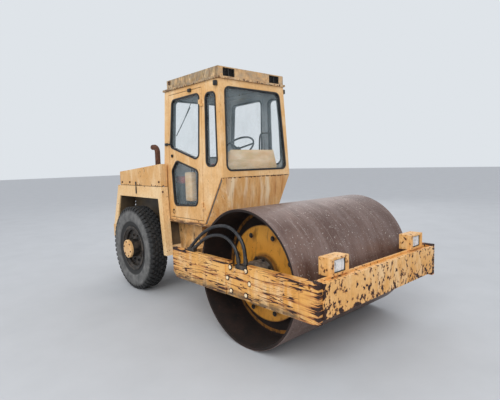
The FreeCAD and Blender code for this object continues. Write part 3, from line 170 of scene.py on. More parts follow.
# Yard: a plain pale floor under a bright overcast sky. What the camera, metal and glass see is the pale
# backdrop; the light on the machine is weaker, so that colours come out as they are written.
scene = bpy.context.scene
scene.view_settings.view_transform = "Standard"
sky = bpy.data.worlds.new("overcast_sky")
scene.world = sky
sky.use_nodes = True
tree = sky.node_tree
tree.nodes.clear()
rays = add(tree, "LightPath").outputs
seen = rays["Is Camera Ray"]
for kind in ("Is Glossy Ray", "Is Transmission Ray"):
    seen = add(tree, "Math", {0: seen, 1: rays[kind]}, operation="MAXIMUM")
lit = add(tree, "Background", {"Color": colour("#F4F7FF"), "Strength": 0.95})
shown = add(tree, "Background", {"Color": colour("#DFE4E9"), "Strength": 1.0})
add(tree, "OutputWorld", {0: add(tree, "MixShader", {0: seen, 1: lit, 2: shown})})

bpy.ops.object.select_all(action="DESELECT")
bpy.ops.mesh.primitive_plane_add(size=160, location=(0, 0, -0.001))
floor = bpy.context.object
floor.name = "floor"
floor.data.materials.append(mottled("pale_concrete", 0.9, ("#B7B9BA", "#BDBFC0"), (0.7, 0.3, 0.7)))

# A large soft lamp high on the right and in front, and a weak one behind on the left
LAMPS = (  # name, watts, size in metres, place, looks at
    ("key_lamp", 1000, 9.0, (-9.5, -7.0, 9.0), (0, 0, 1.2)),
    ("back_lamp", 260, 9.0, (9.0, 7.0, 8.0), (0, 0, 1.2)),
)
for name, watts, width, place, target in LAMPS:
    lamp = bpy.data.objects.new(name, bpy.data.lights.new(name, "AREA"))
    lamp.data.energy = watts
    lamp.data.size = width
    lamp.location = place
    lamp.rotation_euler = (Vector(target) - Vector(place)).to_track_quat("-Z", "Y").to_euler()
    scene.collection.objects.link(lamp)


# Painted sheet metal: faded orange-yellow enamel, sprayed on plate and left outdoors for years. It is
# chalky, with paler and darker clouds, brown drips below the seams and rust where it chipped.
HOOD_SEAM_Z, ROOF_MIDDLE_Y = 1.665, 0.124
REAR_SLOPE = 0.3566  # the rear wall leans forward so many metres in a metre of height


def layered(spot, paint, *layers):
    """A paint with layers over it in patches: each has its hex code, size, low, high, most and detail."""
    for shade, *patch in layers:
        paint = coat(paint, shade, patches(spot, *patch))
    return paint


def faded_yellow(spot, low="#D8A25C", high="#EAC089"):
    """Chalky enamel: clouds of half a metre, a mottle of 30 mm and thin dirt that ran down the plate."""
    return layered(spot, low, (high, 0.55, 0.35, 0.65),
                   ("#BD8645", 0.03, 0.4, 0.75, 0.4),
                   ("#F0D2A4", (0.11, 0.11, 0.3), 0.5, 0.7, 0.6),
                   ("#A0662F", (0.016, 0.016, 0.5), 0.56, 0.72, 0.45, 3))


def worn_at(wear, *places):
    """More wear, up to the last number, where a place goes from its first number to its second."""
    for place, first, second, most in places:
        more = add(wear, "MapRange", {0: place, 1: first, 2: second, 4: most})
        wear = add(wear, "Math", {0: wear, 1: more}, operation="ADD")
    return wear


def chipped(shader, paint, wear, low):
    """Chips where wear passes low: a rim of orange rust, then dark brown scale, sunk below the paint."""
    rim = add(wear, "MapRange", {0: wear, 1: low - 0.025, 2: low, 4: 0.9})
    chips = add(wear, "MapRange", {0: wear, 1: low, 2: low + 0.02})
    whole = add(wear, "Math", {0: 1.0, 1: chips}, operation="SUBTRACT")
    dull = add(wear, "MapRange", {0: chips, 3: 0.5, 4: 0.85})
    shade = coat(coat(paint, "#8A4A1E", rim), "#2E1A14", chips)
    skin(shader, shade, whole, 0.0004, Roughness=dull)


def off_middle(spot):
    """How far a point is from the machine's middle, to the right or the left."""
    x = add(spot, "SeparateXYZ", {0: spot}).outputs[0]
    return add(spot, "Math", {0: x}, operation="ABSOLUTE")


def where(*tests):
    """1 where each place is less or greater than its limit, 0 elsewhere."""
    share = None
    for place, kind, limit in tests:
        holds = add(place, "Math", {0: place, 1: limit}, operation=kind + "_THAN")
        share = holds if share is None else add(place, "Math", {0: share, 1: holds}, operation="MULTIPLY")
    return share


def panel_enamel():
    """Enamel on the hood and covers, with chips of 10 to 30 mm, most of them along the hood's seam."""
    material, shader, spot = start("panel_enamel", 0.5, ior=1.5)
    height = add(spot, "SeparateXYZ", {0: spot}).outputs[2]
    seam = add(spot, "Math", {0: height, 1: HOOD_SEAM_Z}, operation="SUBTRACT")
    seam = add(spot, "Math", {0: seam}, operation="ABSOLUTE")
    wear = worn_at(patches(spot, (0.035, 0.035, 0.04), 0, 1),
                   (patches(spot, 0.5, 0, 1), 0.4, 0.7, 0.06), (seam, 0.03, 0.004, 0.12))
    chipped(shader, faded_yellow(spot), wear, 0.7)
    return material


def inside_cab(spot):
    """1 on the inner faces of the leaning cab walls and over the floor, 0 on the outer faces."""
    y, z = add(spot, "SeparateXYZ", {0: spot}).outputs[1:3]
    # Places with the walls' lean taken out, which is in metres per metre of height
    wide, back, ahead = [add(spot, "Math", {0: z, 1: lean, 2: place}, operation="MULTIPLY_ADD")
                         for place, lean in ((off_middle(spot), 0.0186), (y, 0.0612), (y, -0.06))]
    return where((wide, "LESS", 0.6348), (back, "LESS", 0.9586), (ahead, "GREATER", -0.677),
                 (z, "GREATER", 1.1695))


def cab_enamel():
    """Enamel outside, rusty along the sill; grey trim paint inside the cab, dusty."""
    material, shader, spot = start("cab_enamel", 0.5, ior=1.5)
    height = add(spot, "SeparateXYZ", {0: spot}).outputs[2]
    trim = coat("#858B8E", "#A8ABAA", patches(spot, 0.3, 0.35, 0.7))
    wear = worn_at(patches(spot, (0.03, 0.03, 0.045), 0, 1),
                   (patches(spot, 0.4, 0, 1), 0.4, 0.7, 0.05), (height, 1.30, 1.18, 0.06))
    sill = add(spot, "MapRange", {0: height, 1: 1.179, 2: 1.172, 4: 0.9})
    paint = coat(faded_yellow(spot), "#4A2A1A", sill, patches(spot, (0.16, 0.16, 0.03), 0.35, 0.5))
    chipped(shader, coat(paint, trim, inside_cab(spot)), wear, 0.71)
    return material


def front_enamel():
    """Enamel under the windscreen, stained by rust water in long drips, with a rusty fold on top."""
    material, shader, spot = start("cab_front_enamel", 0.5, ior=1.5)
    height = add(spot, "SeparateXYZ", {0: spot}).outputs[2]
    paint = layered(spot, faded_yellow(spot, "#D49C58", "#E2B276"),
                    ("#EFD9B4", (0.10, 0.10, 1.4), 0.5, 0.66, 0.8, 3),
                    ("#BC7A3A", (0.09, 0.09, 1.6), 0.5, 0.68, 0.8, 3),
                    ("#85491F", (0.03, 0.03, 0.9), 0.63, 0.72, 0.6, 2))
    wear = worn_at(patches(spot, (0.03, 0.03, 0.09), 0, 1),
                   (height, 1.77, 1.795, 0.25), (height, 1.22, 1.185, 0.12))
    chipped(shader, paint, wear, 0.7)
    return material


def roof_enamel():
    """Enamel of the roof, grey-green with dirt and moss where rain stands; grey trim underneath."""
    material, shader, spot = start("roof_enamel", 0.7, ior=1.5)
    y, height = add(spot, "SeparateXYZ", {0: spot}).outputs[1:3]
    wide = off_middle(spot)
    along = add(spot, "Math", {0: y, 1: ROOF_MIDDLE_Y}, operation="SUBTRACT")
    along = add(spot, "Math", {0: along}, operation="ABSOLUTE")
    side = where((wide, "GREATER", 0.58))
    top = where((height, "GREATER", 3.1985))
    ceiling = where((wide, "LESS", 0.552), (along, "LESS", 0.546), (height, "LESS", 3.197))
    paint = faded_yellow(spot, "#C69A62", "#DDB887")
    paint = coat(paint, "#7F7450", patches(spot, (0.05, 0.05, 0.10), 0.4, 0.62, 0.85), side)
    paint = coat(paint, "#57492F", patches(spot, (0.025, 0.025, 0.09), 0.48, 0.66, 0.8), side)
    paint = layered(spot, paint, ("#8D8272", (0.12, 0.12, 0.05), 0.4, 0.62, 0.6),
                    ("#8E5B2E", (0.05, 0.05, 0.1), 0.52, 0.68, 0.7))
    paint = coat(paint, "#6E6549", patches(spot, (0.25, 0.25, 0.12), 0.3, 0.65, 0.85), top)
    paint = coat(paint, "#8B9091", ceiling)
    chipped(shader, paint, worn_at(patches(spot, 0.03, 0, 1), (height, 3.085, 3.06, 0.13)), 0.69)
    return material


def arch_enamel():
    """Enamel outside; inside the wheel arches and the rear wall it is buried under dark road dirt."""
    material, shader, spot = start("arch_enamel", 0.55, ior=1.5)
    y, height = add(spot, "SeparateXYZ", {0: spot}).outputs[1:3]
    back = add(spot, "Math", {0: height, 1: REAR_SLOPE, 2: y}, operation="MULTIPLY_ADD")
    # The road dirt lies between the side walls, behind the cab, ahead of the rear wall and under the hood
    inside = where((off_middle(spot), "LESS", 0.7275), (y, "GREATER", 0.74), (back, "LESS", 2.79),
                   (height, "LESS", 1.64))
    dirt = coat("#473E34", "#66563F", patches(spot, 0.2, 0.35, 0.7))
    wear = worn_at(patches(spot, (0.04, 0.04, 0.05), 0, 1),
                   (height, 1.0, 0.7, 0.05), (height, 1.63, 1.653, 0.1))
    chipped(shader, coat(faded_yellow(spot, "#EDBF80", "#F8DAAA"), dirt, inside), wear, 0.71)
    return material


def grimy_enamel():
    """Enamel on the frame, with brown grease and mud over most of it."""
    material, shader, spot = start("grimy_frame_enamel", 0.6, ior=1.5)
    paint = layered(spot, faded_yellow(spot, "#D39A55", "#E6B87C"), ("#8A5F33", 0.16, 0.42, 0.66, 0.75),
                    ("#2C211A", (0.07, 0.07, 0.1), 0.58, 0.68, 0.95))
    chipped(shader, paint, patches(spot, 0.03, 0, 1), 0.7)
    return material


def dress(material, *nodes):
    """Give these CAD nodes a material in all of their slots."""
    for node in nodes:
        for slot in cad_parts[node].material_slots:
            slot.material = material


panel_paint = panel_enamel()
cab_paint = cab_enamel()
dress(panel_paint, "hood", "rear_bumper")
dress(cab_paint, "cab_side_right", "cab_side_left", "door_right", "door_left", "cab_rear", "cab_floor",
      "windscreen_frame")
dress(front_enamel(), "cab_lower_front")
dress(roof_enamel(), "cab_roof")
dress(arch_enamel(), "fenders", "rear_wall")
dress(grimy_enamel(), "chassis", "swing_bearing", "hinge_block", "rear_crossbar")


# Side beams and crossbar: thick plate that scrapes along kerbs and walls. The beams carry long scratches
# that run fore and aft; the crossbar has lost its paint in hundreds of chips, most along its lower edge.
def beam_enamel():
    """Enamel scraped along the beam: scratches 5 to 15 mm high and up to a metre long, open to the rust."""
    material, shader, spot = start("beam_enamel", 0.5, ior=1.5)
    y, height = add(spot, "SeparateXYZ", {0: spot}).outputs[1:3]
    wear = worn_at(patches(spot, (0.3, 0.45, 0.028), 0, 1, detail=4),
                   (patches(spot, (0.3, 0.28, 0.12), 0, 1, detail=4), 0.35, 0.65, 0.06))
    for size, breadth in (((1.0, 1.1, 0.075), 0.022), ((0.8, 0.62, 0.05), 0.014)):
        line = patches(spot, size, 0, 1, 0.5, detail=2, least=-0.5)
        line = add(spot, "Math", {0: line}, operation="ABSOLUTE")
        line = add(spot, "MapRange", {0: line, 1: breadth, 2: breadth * 0.3})
        broken = patches(spot, (0.2, 0.35, 0.10), 0.42, 0.48)
        line = add(spot, "Math", {0: line, 1: broken}, operation="MULTIPLY")
        wear = add(spot, "Math", {0: line, 1: 0.25, 2: wear}, operation="MULTIPLY_ADD")
    wear = worn_at(wear, (y, -1.75, -2.38, 0.05), (y, -2.42, -2.475, 0.10), (y, -0.5, -0.15, 0.08),
                   (height, 0.905, 0.933, 0.04))
    stain = add(spot, "MapRange", {0: wear, 1: 0.55, 2: 0.66, 4: 0.75})
    # Darker towards the bottom edge, in patches, except at the front end
    darker_low = add(spot, "MapRange", {0: height, 1: 0.66, 2: 0.585, 4: 0.85})
    middle = add(spot, "MapRange", {0: y, 1: -2.36, 2: -2.2})
    paint = coat(faded_yellow(spot, "#D8973F", "#E8B468"), "#A8602A", stain)
    paint = coat(paint, "#3B342A", darker_low, middle, patches(spot, (0.1, 0.1, 0.03), 0.3, 0.55))
    chipped(shader, paint, wear, 0.68)
    return material


def crossbar_enamel(name, low):
    """Enamel knocked off in chips of 10 to 50 mm, which join up towards the lower edge."""
    material, shader, spot = start(name, 0.5, ior=1.5)
    height = add(spot, "SeparateXYZ", {0: spot}).outputs[2]
    wear = worn_at(patches(spot, (0.04, 0.04, 0.05), 0, 1, detail=6),
                   (height, 0.76, 0.6, 0.09), (height, 0.905, 0.926, 0.03),
                   (off_middle(spot), 1.03, 1.065, 0.14), (patches(spot, 0.22, 0, 1), 0.35, 0.65, 0.08))
    stain = add(spot, "MapRange", {0: wear, 1: 0.56, 2: 0.66, 4: 0.4})
    chipped(shader, coat(faded_yellow(spot, "#DE9F49", "#EFBE7C"), "#B9752F", stain), wear, low)
    return material


dress(beam_enamel(), "side_beams")
dress(crossbar_enamel("crossbar_enamel", 0.645), "front_crossbar")
dress(crossbar_enamel("lamp_box_enamel", 0.685), "headlamps")


# Drum: a steel shell of 1.5 m rolled from plate, polished by stone and since gone purple-brown with rust.
# Pale scuffs run round it, square to its axle; the inside and the heads are dark, dry rust.
DRUM_Y, DRUM_Z = -1.411, 0.750


def from_axle(spot, y, z):
    """How far a point is from an axle along x through y, z."""
    moved = add(spot, "VectorMath", {0: spot, 1: (0, y, z)}, operation="SUBTRACT")
    flat = add(spot, "VectorMath", {0: moved, 1: (0, 1, 1)}, operation="MULTIPLY")
    return add(spot, "VectorMath", {0: flat}, operation="LENGTH").outputs["Value"]


def rusty_inside(spot):
    """Plate that rusted dry and dark, with brown powder in patches."""
    return layered(spot, "#160E0B", ("#2A1A14", 0.16, 0.35, 0.7), ("#452B1D", 0.03, 0.58, 0.75, 0.7))


def rolled_steel():
    """Rolled plate with a tight oxide skin; scuffs of 4 to 10 mm run round it, pits of 15 mm all over."""
    material, shader, spot = start("rolled_drum_steel", 0.5, metallic=0.45)
    steel = layered(spot, "#634A41", ("#80675D", 0.45, 0.35, 0.65),
                    ("#9C8B85", (0.12, 1.5, 1.5), 0.48, 0.72, 0.4),
                    ("#55382C", (0.12, 0.4, 0.4), 0.5, 0.7, 0.6),
                    ("#4A352E", (0.014, 0.022, 0.022), 0.52, 0.68, 0.75),
                    ("#E6DBD0", (0.014, 0.022, 0.022), 0.62, 0.68, 0.9),
                    ("#C9BBB1", (0.007, 0.5, 0.5), 0.64, 0.73, 0.7, 2),
                    ("#3F2D27", (0.009, 0.35, 0.35), 0.66, 0.74, 0.6, 2))
    bore = where((from_axle(spot, DRUM_Y, DRUM_Z), "LESS", 0.7465))
    skin(shader, coat(steel, rusty_inside(spot), bore), patches(spot, (0.012, 0.02, 0.02), 0.3, 0.7), 0.0012,
         Roughness=add(spot, "MapRange", {0: bore, 3: 0.42, 4: 0.9}),
         Metallic=add(spot, "MapRange", {0: bore, 3: 0.45, 4: 0.0}))
    return material


def head_rust():
    """Dry rust of the drum heads; near the shell a worn band of ochre paint is left."""
    material, shader, spot = start("drum_head_rust", 0.85)
    reach = from_axle(spot, DRUM_Y, DRUM_Z)
    outer = add(spot, "MapRange", {0: reach, 1: 0.700, 2: 0.695})
    inner = add(spot, "MapRange", {0: reach, 1: 0.655, 2: 0.662})
    worn = patches(spot, 0.07, 0.62, 0.45, 0.9, least=0.15)
    skin(shader, coat(rusty_inside(spot), "#94601F", outer, inner, worn), patches(spot, 0.012, 0, 1), 0.0008)
    return material


def disc_ochre():
    """Ochre enamel, brushed on, dull with grease and road dust; greasy at the axle and dirty at its rim."""
    material, shader, spot = start("ochre_enamel", 0.5, ior=1.5)
    reach = from_axle(spot, DRUM_Y, DRUM_Z)
    paint = layered(spot, "#CB8423", ("#E3A03A", 0.3, 0.3, 0.7),
                    ("#8A5A1F", (0.05, 0.05, 0.14), 0.52, 0.72, 0.8))
    paint = coat(paint, "#2F2720", add(spot, "MapRange", {0: reach, 1: 0.24, 2: 0.19, 4: 0.95}))
    paint = coat(paint, "#5A3A1C", add(spot, "MapRange", {0: reach, 1: 0.525, 2: 0.537, 4: 0.8}))
    chipped(shader, paint, patches(spot, 0.025, 0, 1), 0.69)
    return material


# Bare steel, rusted dry: clouds of dark and orange brown on a fine crust
rust = mottled("dry_rust", 0.85, ("#3A241B", "#6B4530"), (0.06, 0.35, 0.7), (0.01, 0.0006, 5))
dress(rolled_steel(), "drum_shell")
dress(head_rust(), "drum_heads")
dress(disc_ochre(), "drum_discs")
dress(rust, "scraper", "exhaust_pipe")


# Running gear: cast iron with the sand's grain, black from oil, with dry dust on it; cast housings in grey
# machine enamel with dust in the grease; and the cylinder rod in hard chrome, ground smooth and oily.
iron = mottled("greasy_cast_iron", 0.5, ("#201D1A", "#574C42"), (0.08, 0.42, 0.72), (0.006, 0.0007, 5),
               metallic=0.2)
housing_grey = mottled("grey_housing_enamel", 0.45, ("#55504B", "#8B857D"), (0.06, 0.4, 0.7),
                       (0.006, 0.0006, 5), metallic=0.15)
hard_chrome = mottled("hard_chrome", 0.16, ("#C9CACC", "#9C978F"), (0.05, 0.4, 0.8), metallic=1.0)
dress(iron, "rear_axle", "cylinder_barrel", "hose_fittings", "steering_column", "engine_block",
      "rear_grille")
dress(housing_grey, "drum_motors")
dress(hard_chrome, "cylinder_rod")


# Bolts: hexagon heads over round washers, on the beams, the discs, the motor flanges and the body panels.
# One is shaped and each copy is moved to its place; a group of them is one piece.
SIDES = (("right", -1), ("left", 1))
WASHER, COVER_X = 0.004, 0.750


def only_selected(*pieces):
    """Make these pieces the whole selection, the first of them active."""
    bpy.ops.object.select_all(action="DESELECT")
    for piece in pieces:
        piece.select_set(True)
    if pieces:
        bpy.context.view_layer.objects.active = pieces[0]


def applied(piece, kind, **settings):
    """Add a modifier with its settings and apply it."""
    modifier = piece.modifiers.new(kind.lower(), kind)
    for key, value in settings.items():
        setattr(modifier, key, value)
    only_selected(piece)
    bpy.ops.object.modifier_apply(modifier=modifier.name)
    return piece


def finished(piece, name, material, body):
    """Name a piece, put its place in its mesh, give it its material and let it ride."""
    piece.name = name
    only_selected(piece)
    bpy.ops.object.transform_apply(location=True, rotation=True, scale=True)
    piece.data.materials.clear()
    piece.data.materials.append(material)
    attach(piece, body)
    return piece


def joined(pieces):
    """Several pieces made one."""
    only_selected(*pieces)
    bpy.ops.object.join()
    return bpy.context.object


def copies(first, places):
    """A copy of a piece with its own mesh at each place, joined to one piece; the first goes."""
    made = []
    for place in places:
        twin = first.copy()
        twin.data = first.data.copy()
        bpy.context.scene.collection.objects.link(twin)
        twin.matrix_world = place
        made.append(twin)
    bpy.data.objects.remove(first)
    return joined(made)


def bolts(name, radius, height, places, material, body):
    """Bolts that point away from their places: a washer, then a chamfered hexagon head."""
    towards_x = {"rotation": (0, math.pi / 2, 0)}
    only_selected()
    bpy.ops.mesh.primitive_cylinder_add(vertices=20, radius=radius * 1.4, depth=WASHER,
                                        location=(WASHER / 2, 0, 0), **towards_x)
    washer = bpy.context.object
    bpy.ops.mesh.primitive_cylinder_add(vertices=6, radius=radius, depth=height,
                                        location=(WASHER + height / 2, 0, 0), **towards_x)
    bolt = joined((applied(bpy.context.object, "BEVEL", width=radius * 0.12), washer))
    bpy.ops.object.transform_apply(location=True, rotation=True, scale=True)
    finished(copies(bolt, places), name, material, body)


def facing(sign, x, y, z):
    """A place on a plane that looks to the right (sign -1) or left (sign 1)."""
    turn = Matrix.Identity(4) if sign > 0 else Matrix.Rotation(math.pi, 4, "Z")
    return Matrix.Translation((sign * x, y, z)) @ turn


def around(x, y, z, radius, turns, signs=(-1, 1)):
    """Places round an axle on both sides, or on one, at these turns in degrees."""
    return [facing(sign, x, y + radius * math.cos(a), z + radius * math.sin(a))
            for sign in signs for a in map(math.radians, turns)]


def on_covers(*spots):
    """Places at y and z on both outer sides of the hood and the fenders."""
    return [facing(sign, COVER_X, y, z) for _, sign in SIDES for y, z in spots]


def bolt_paint():
    """Painted heads rubbed pale, over washers black with rust."""
    material, shader, spot = start("pale_bolt_paint", 0.5, ior=1.5)
    head = coat("#F2DDB6", "#A87A4C", patches(spot, 0.02, 0.5, 0.7))
    skin(shader, coat(head, "#2A1A14", where((off_middle(spot), "LESS", 1.1185))))
    return material


bolts("saddle_bolts", 0.022, 0.0075, around(1.113, DRUM_Y, DRUM_Z, 0.178, (-48, 0, 45, 135, 180, 228)),
      bolt_paint(), "drum_frame")
bolts("disc_bolts", 0.021, 0.014, around(0.758, DRUM_Y, DRUM_Z, 0.447, range(22, 360, 45)), iron, "drum")
bolts("flange_bolts", 0.014, 0.014, around(0.798, DRUM_Y, DRUM_Z, 0.185, range(0, 360, 36)), iron, "drum")
bolts("hood_bolts", 0.013, 0.010, on_covers((2.037, 1.707), (1.751, 1.712), (0.792, 1.729)), rust, "hood")
bolts("fender_bolts", 0.013, 0.010, on_covers((0.690, 1.585)), rust, "rear_frame")


# Tyres: black rubber, 300 mm wide, with five rows of small square blocks 22 mm deep round the tread.
# The sidewall is grey with dust; next to the rim a dark ring is painted, the shade that falls on the bead.
AXLE_Y, AXLE_Z, TYRE_X = 1.459, 0.665, 0.780


def ribs(place, wave):
    """Ribs side by side across a place: wave is 2 pi over the metres from one rib to the next."""
    place = add(place, "Math", {0: place, 1: wave}, operation="MULTIPLY")
    return add(place, "Math", {0: place}, operation="SINE")


def tyre_rubber():
    """Moulded rubber: the tread is scrubbed black, the sidewall grey with dust, with a painted shade near the
    bead.
    """
    material, shader, spot = start("tyre_rubber", 0.75, ior=1.52)
    reach = from_axle(spot, AXLE_Y, AXLE_Z)
    dust = patches(spot, 0.1, 0.35, 0.7)
    side, tread = coat("#50504E", "#7A7875", dust), coat("#141516", "#2B2A29", dust)
    rubber = coat(side, tread, add(spot, "MapRange", {0: reach, 1: 0.585, 2: 0.62}))
    # Painted shade: a dark ring on the sidewall within 0.43 m of the axle, where the bead lies in shadow
    rubber = coat(rubber, "#262524", add(spot, "MapRange", {0: reach, 1: 0.437, 2: 0.425}))
    rings = add(spot, "MapRange", {0: ribs(reach, 262), 1: 0.6, 2: 1.0, 4: 0.3})  # 24 mm apart
    skin(shader, coat(rubber, "#3C3B39", rings), patches(spot, 0.01, 0, 1), 0.0012)
    return material


CARCASS = ((0.104, 0.336), (0.118, 0.362), (0.122, 0.392), (0.127, 0.424), (0.139, 0.440), (0.1475, 0.480),
           (0.1495, 0.530), (0.145, 0.578), (0.132, 0.614), (0.112, 0.636), (0.080, 0.643))
BLOCK_ROWS = (  # middle along x, half width, half length, turn on the tread in degrees, shift in pitches
    (0.000, 0.020, 0.029, 20, 0.0),
    (0.050, 0.020, 0.029, -22, 0.5),
    (-0.050, 0.020, 0.029, -22, 0.5),
)
PITCHES, BLOCK_FOOT, BLOCK_TOP = 50, 0.638, 0.6638


def ring_shape(outline, segments):
    """A closed outline of x and radius, spun round the x axis."""
    only_selected()
    bpy.ops.mesh.primitive_circle_add(vertices=len(outline), radius=1, fill_type="NOTHING")
    ring = bpy.context.object
    for vertex, (x, radius) in zip(ring.data.vertices, outline):
        vertex.co = (x, 0, radius)
    bpy.ops.object.mode_set(mode="EDIT")
    bpy.ops.mesh.select_all(action="SELECT")
    bpy.ops.mesh.spin(steps=segments, angle=2 * math.pi, center=(0, 0, 0), axis=(1, 0, 0))
    bpy.ops.mesh.select_all(action="SELECT")
    bpy.ops.mesh.remove_doubles(threshold=0.0002)
    bpy.ops.mesh.normals_make_consistent(inside=False)
    bpy.ops.object.mode_set(mode="OBJECT")
    bpy.ops.object.shade_smooth_by_angle(angle=math.radians(35))
    return ring


def bar(low, high, bevel=0.004, segments=2):
    """A solid bar between two corners, its edges rounded."""
    only_selected()
    bpy.ops.mesh.primitive_cube_add(size=1, location=[(a + b) / 2 for a, b in zip(low, high)],
                                    scale=[b - a for a, b in zip(low, high)])
    piece = bpy.context.object
    bpy.ops.object.transform_apply(location=True, rotation=True, scale=True)
    applied(piece, "BEVEL", width=bevel, segments=segments)
    bpy.ops.object.shade_smooth_by_angle(angle=math.radians(35))
    return piece


def tread_block(x, half_width, half_length, turn):
    """One block of the tread, narrower on top, turned on the tread."""
    cube = bar((-half_width, -half_length, BLOCK_FOOT), (half_width, half_length, BLOCK_TOP), 0.003, 1)
    for vertex in cube.data.vertices:
        if vertex.co.z > (BLOCK_FOOT + BLOCK_TOP) / 2:
            vertex.co.x *= 0.88
            vertex.co.y *= 0.9
    cube.matrix_world = Matrix.Translation((x, 0, 0)) @ Matrix.Rotation(math.radians(turn), 4, "Z")
    bpy.ops.object.transform_apply(location=True, rotation=True, scale=True)
    return cube


def prism(outline, low, high, bevel, segments=1):
    """A closed outline of x and z, in a right turn seen from low, drawn out along y, its edges rounded."""
    only_selected()
    bpy.ops.mesh.primitive_circle_add(vertices=len(outline), radius=1, fill_type="NGON")
    piece = bpy.context.object
    for vertex, (x, z) in zip(piece.data.vertices, outline):
        vertex.co = (x, low, z)
    bpy.ops.object.mode_set(mode="EDIT")
    bpy.ops.mesh.select_all(action="SELECT")
    bpy.ops.mesh.extrude_region_move(TRANSFORM_OT_translate={"value": (0, high - low, 0)})
    bpy.ops.mesh.select_all(action="SELECT")
    bpy.ops.mesh.normals_make_consistent(inside=False)
    bpy.ops.object.mode_set(mode="OBJECT")
    applied(piece, "BEVEL", width=bevel, segments=segments)
    bpy.ops.object.shade_smooth_by_angle(angle=math.radians(40))
    return piece


SHOULDER = ((0.083, 0.636), (0.083, 0.6645), (0.113, 0.6640), (0.1385, 0.634), (0.1475, 0.586),
            (0.132, 0.600))
rubber = tyre_rubber()


def round_tyre(first, shift=0.0):
    """Copies of a block all round the tyre, shifted by a share of their pitch."""
    pitch = 2 * math.pi / PITCHES
    return copies(first, [Matrix.Rotation(pitch * (number + shift), 4, "X") for number in range(PITCHES)])


for side, sign in SIDES:
    outline = [(-x, r) for x, r in CARCASS] + [(x, r) for x, r in reversed(CARCASS)]
    parts = [ring_shape(outline, 100)]
    for *block, shift in BLOCK_ROWS:
        parts.append(round_tyre(tread_block(*block), shift))
    for shoulder in (-1, 1):
        parts.append(round_tyre(prism([(shoulder * x, z) for x, z in SHOULDER], -0.025, 0.025, 0.003)))
    tyre = joined(parts)
    tyre.matrix_world = Matrix.Translation((sign * TYRE_X, AXLE_Y, AXLE_Z))
    finished(tyre, f"tyre_{side}_tread", rubber, f"wheel_{side}")
    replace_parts(tyre, f"tyre_{side}")


# Rims: pressed steel in old dark paint. A conical lock ring holds the bead, ten nuts hold the disc, and
# a round cover in the machine's yellow closes the hub.
RIM_X, HUB_X = 0.840, 0.994
dress(iron, "rim_right", "rim_left")
LOCK_RING = ((0.906, 0.330), (0.9095, 0.352), (0.903, 0.357), (0.897, 0.338), (0.866, 0.302), (0.8405, 0.300),
             (0.8405, 0.290), (0.871, 0.292))
HUB_COVER = ((0.960, 0.1425), (0.991, 0.1425), (0.994, 0.138), (0.994, 0.088), (1.000, 0.082),
             (1.000, 0.0005), (0.990, 0.0005), (0.990, 0.138), (0.960, 0.1405))
for side, sign in SIDES:
    for name, outline, material, slot in (("lock_ring", LOCK_RING, iron, "dark_steel"),
                                          ("hub_cover", HUB_COVER, panel_paint, "yellow_paint")):
        ring = ring_shape([(sign * (x - TYRE_X), r) for x, r in outline], 64)
        ring.matrix_world = Matrix.Translation((sign * TYRE_X, AXLE_Y, AXLE_Z))
        finished(ring, f"{name}_{side}", material, f"wheel_{side}")
for side, sign in SIDES:
    wheel = f"wheel_{side}"
    bolts(f"rim_nuts_{side}", 0.018, 0.022, around(RIM_X, AXLE_Y, AXLE_Z, 0.205, range(0, 360, 36), (sign,)),
          iron, wheel)
    bolts(f"hub_screws_{side}", 0.009, 0.006,
          around(HUB_X, AXLE_Y, AXLE_Z, 0.112, range(15, 360, 60), (sign,)), rust, wheel)


# Window glass: 6 mm toughened glass, clear with a cold grey cast and a film of dust.
def window_glass():
    """Flat glass, nearly clear; the dust film is a little thicker in patches."""
    material, shader, spot = start("dusty_window_glass", 0.05, ior=1.5)
    dust = patches(spot, (0.25, 0.25, 0.4), 0.35, 0.8)
    film = add(spot, "MapRange", {0: dust, 3: 0.05, 4: 0.14})
    skin(shader, coat("#B5CDD4", "#D5E2E4", dust), Alpha=film)
    return material


dress(window_glass(), "cab_glass", "door_glass_right", "door_glass_left")


# Window seals: a black rubber profile is pressed over the edge of each opening and holds the pane. It
# shows as a band of 45 mm with round corners, outside and inside the cab, a little grey with age.
seal_rubber = mottled("seal_rubber", 0.4, ("#0F0F11", "#2A2929"), ((0.06, 0.06, 0.2), 0.4, 0.8), ior=1.52)


def rounded(corners, radius, steps=6):
    """Corners in the x-y plane, in a left turn, each cut to an arc."""
    area = sum(a[0] * b[1] - b[0] * a[1] for a, b in zip(corners, corners[1:] + corners[:1]))
    corners = [Vector(corner) for corner in (corners if area > 0 else reversed(corners))]
    outline = []
    for number, here in enumerate(corners):
        back = (corners[number - 1] - here).normalized()
        ahead = (corners[(number + 1) % len(corners)] - here).normalized()
        half = back.angle(ahead) / 2
        centre = here + (back + ahead).normalized() * radius / math.sin(half)
        spoke = here + back * radius / math.tan(half) - centre
        for step in range(steps + 1):
            outline.append(centre + Matrix.Rotation((math.pi - 2 * half) * step / steps, 2) @ spoke)
    return outline


def band(corners, radius, inner, outer, proud, depth, edge):
    """A flat band along the corners' outline, in the x-y plane, its outer face at z = proud."""
    outline = rounded(list(corners), radius)
    only_selected()
    bpy.ops.mesh.primitive_circle_add(vertices=len(outline), radius=1, fill_type="NGON")
    piece = bpy.context.object
    for vertex, (u, v) in zip(piece.data.vertices, outline):
        vertex.co = (u, v, proud)
    bpy.ops.object.mode_set(mode="EDIT")
    bpy.ops.mesh.select_mode(type="FACE")
    bpy.ops.mesh.select_all(action="SELECT")
    bpy.ops.mesh.inset(thickness=outer, use_outset=True)
    bpy.ops.mesh.select_all(action="DESELECT")
    bpy.ops.object.mode_set(mode="OBJECT")
    max(piece.data.polygons, key=lambda face: len(face.vertices)).select = True
    bpy.ops.object.mode_set(mode="EDIT")
    bpy.ops.mesh.inset(thickness=inner)
    bpy.ops.mesh.delete(type="FACE")
    bpy.ops.object.mode_set(mode="OBJECT")
    applied(piece, "SOLIDIFY", thickness=depth, offset=-1)
    applied(piece, "BEVEL", width=edge, segments=2)
    bpy.ops.object.shade_smooth_by_angle(angle=math.radians(40))
    return piece


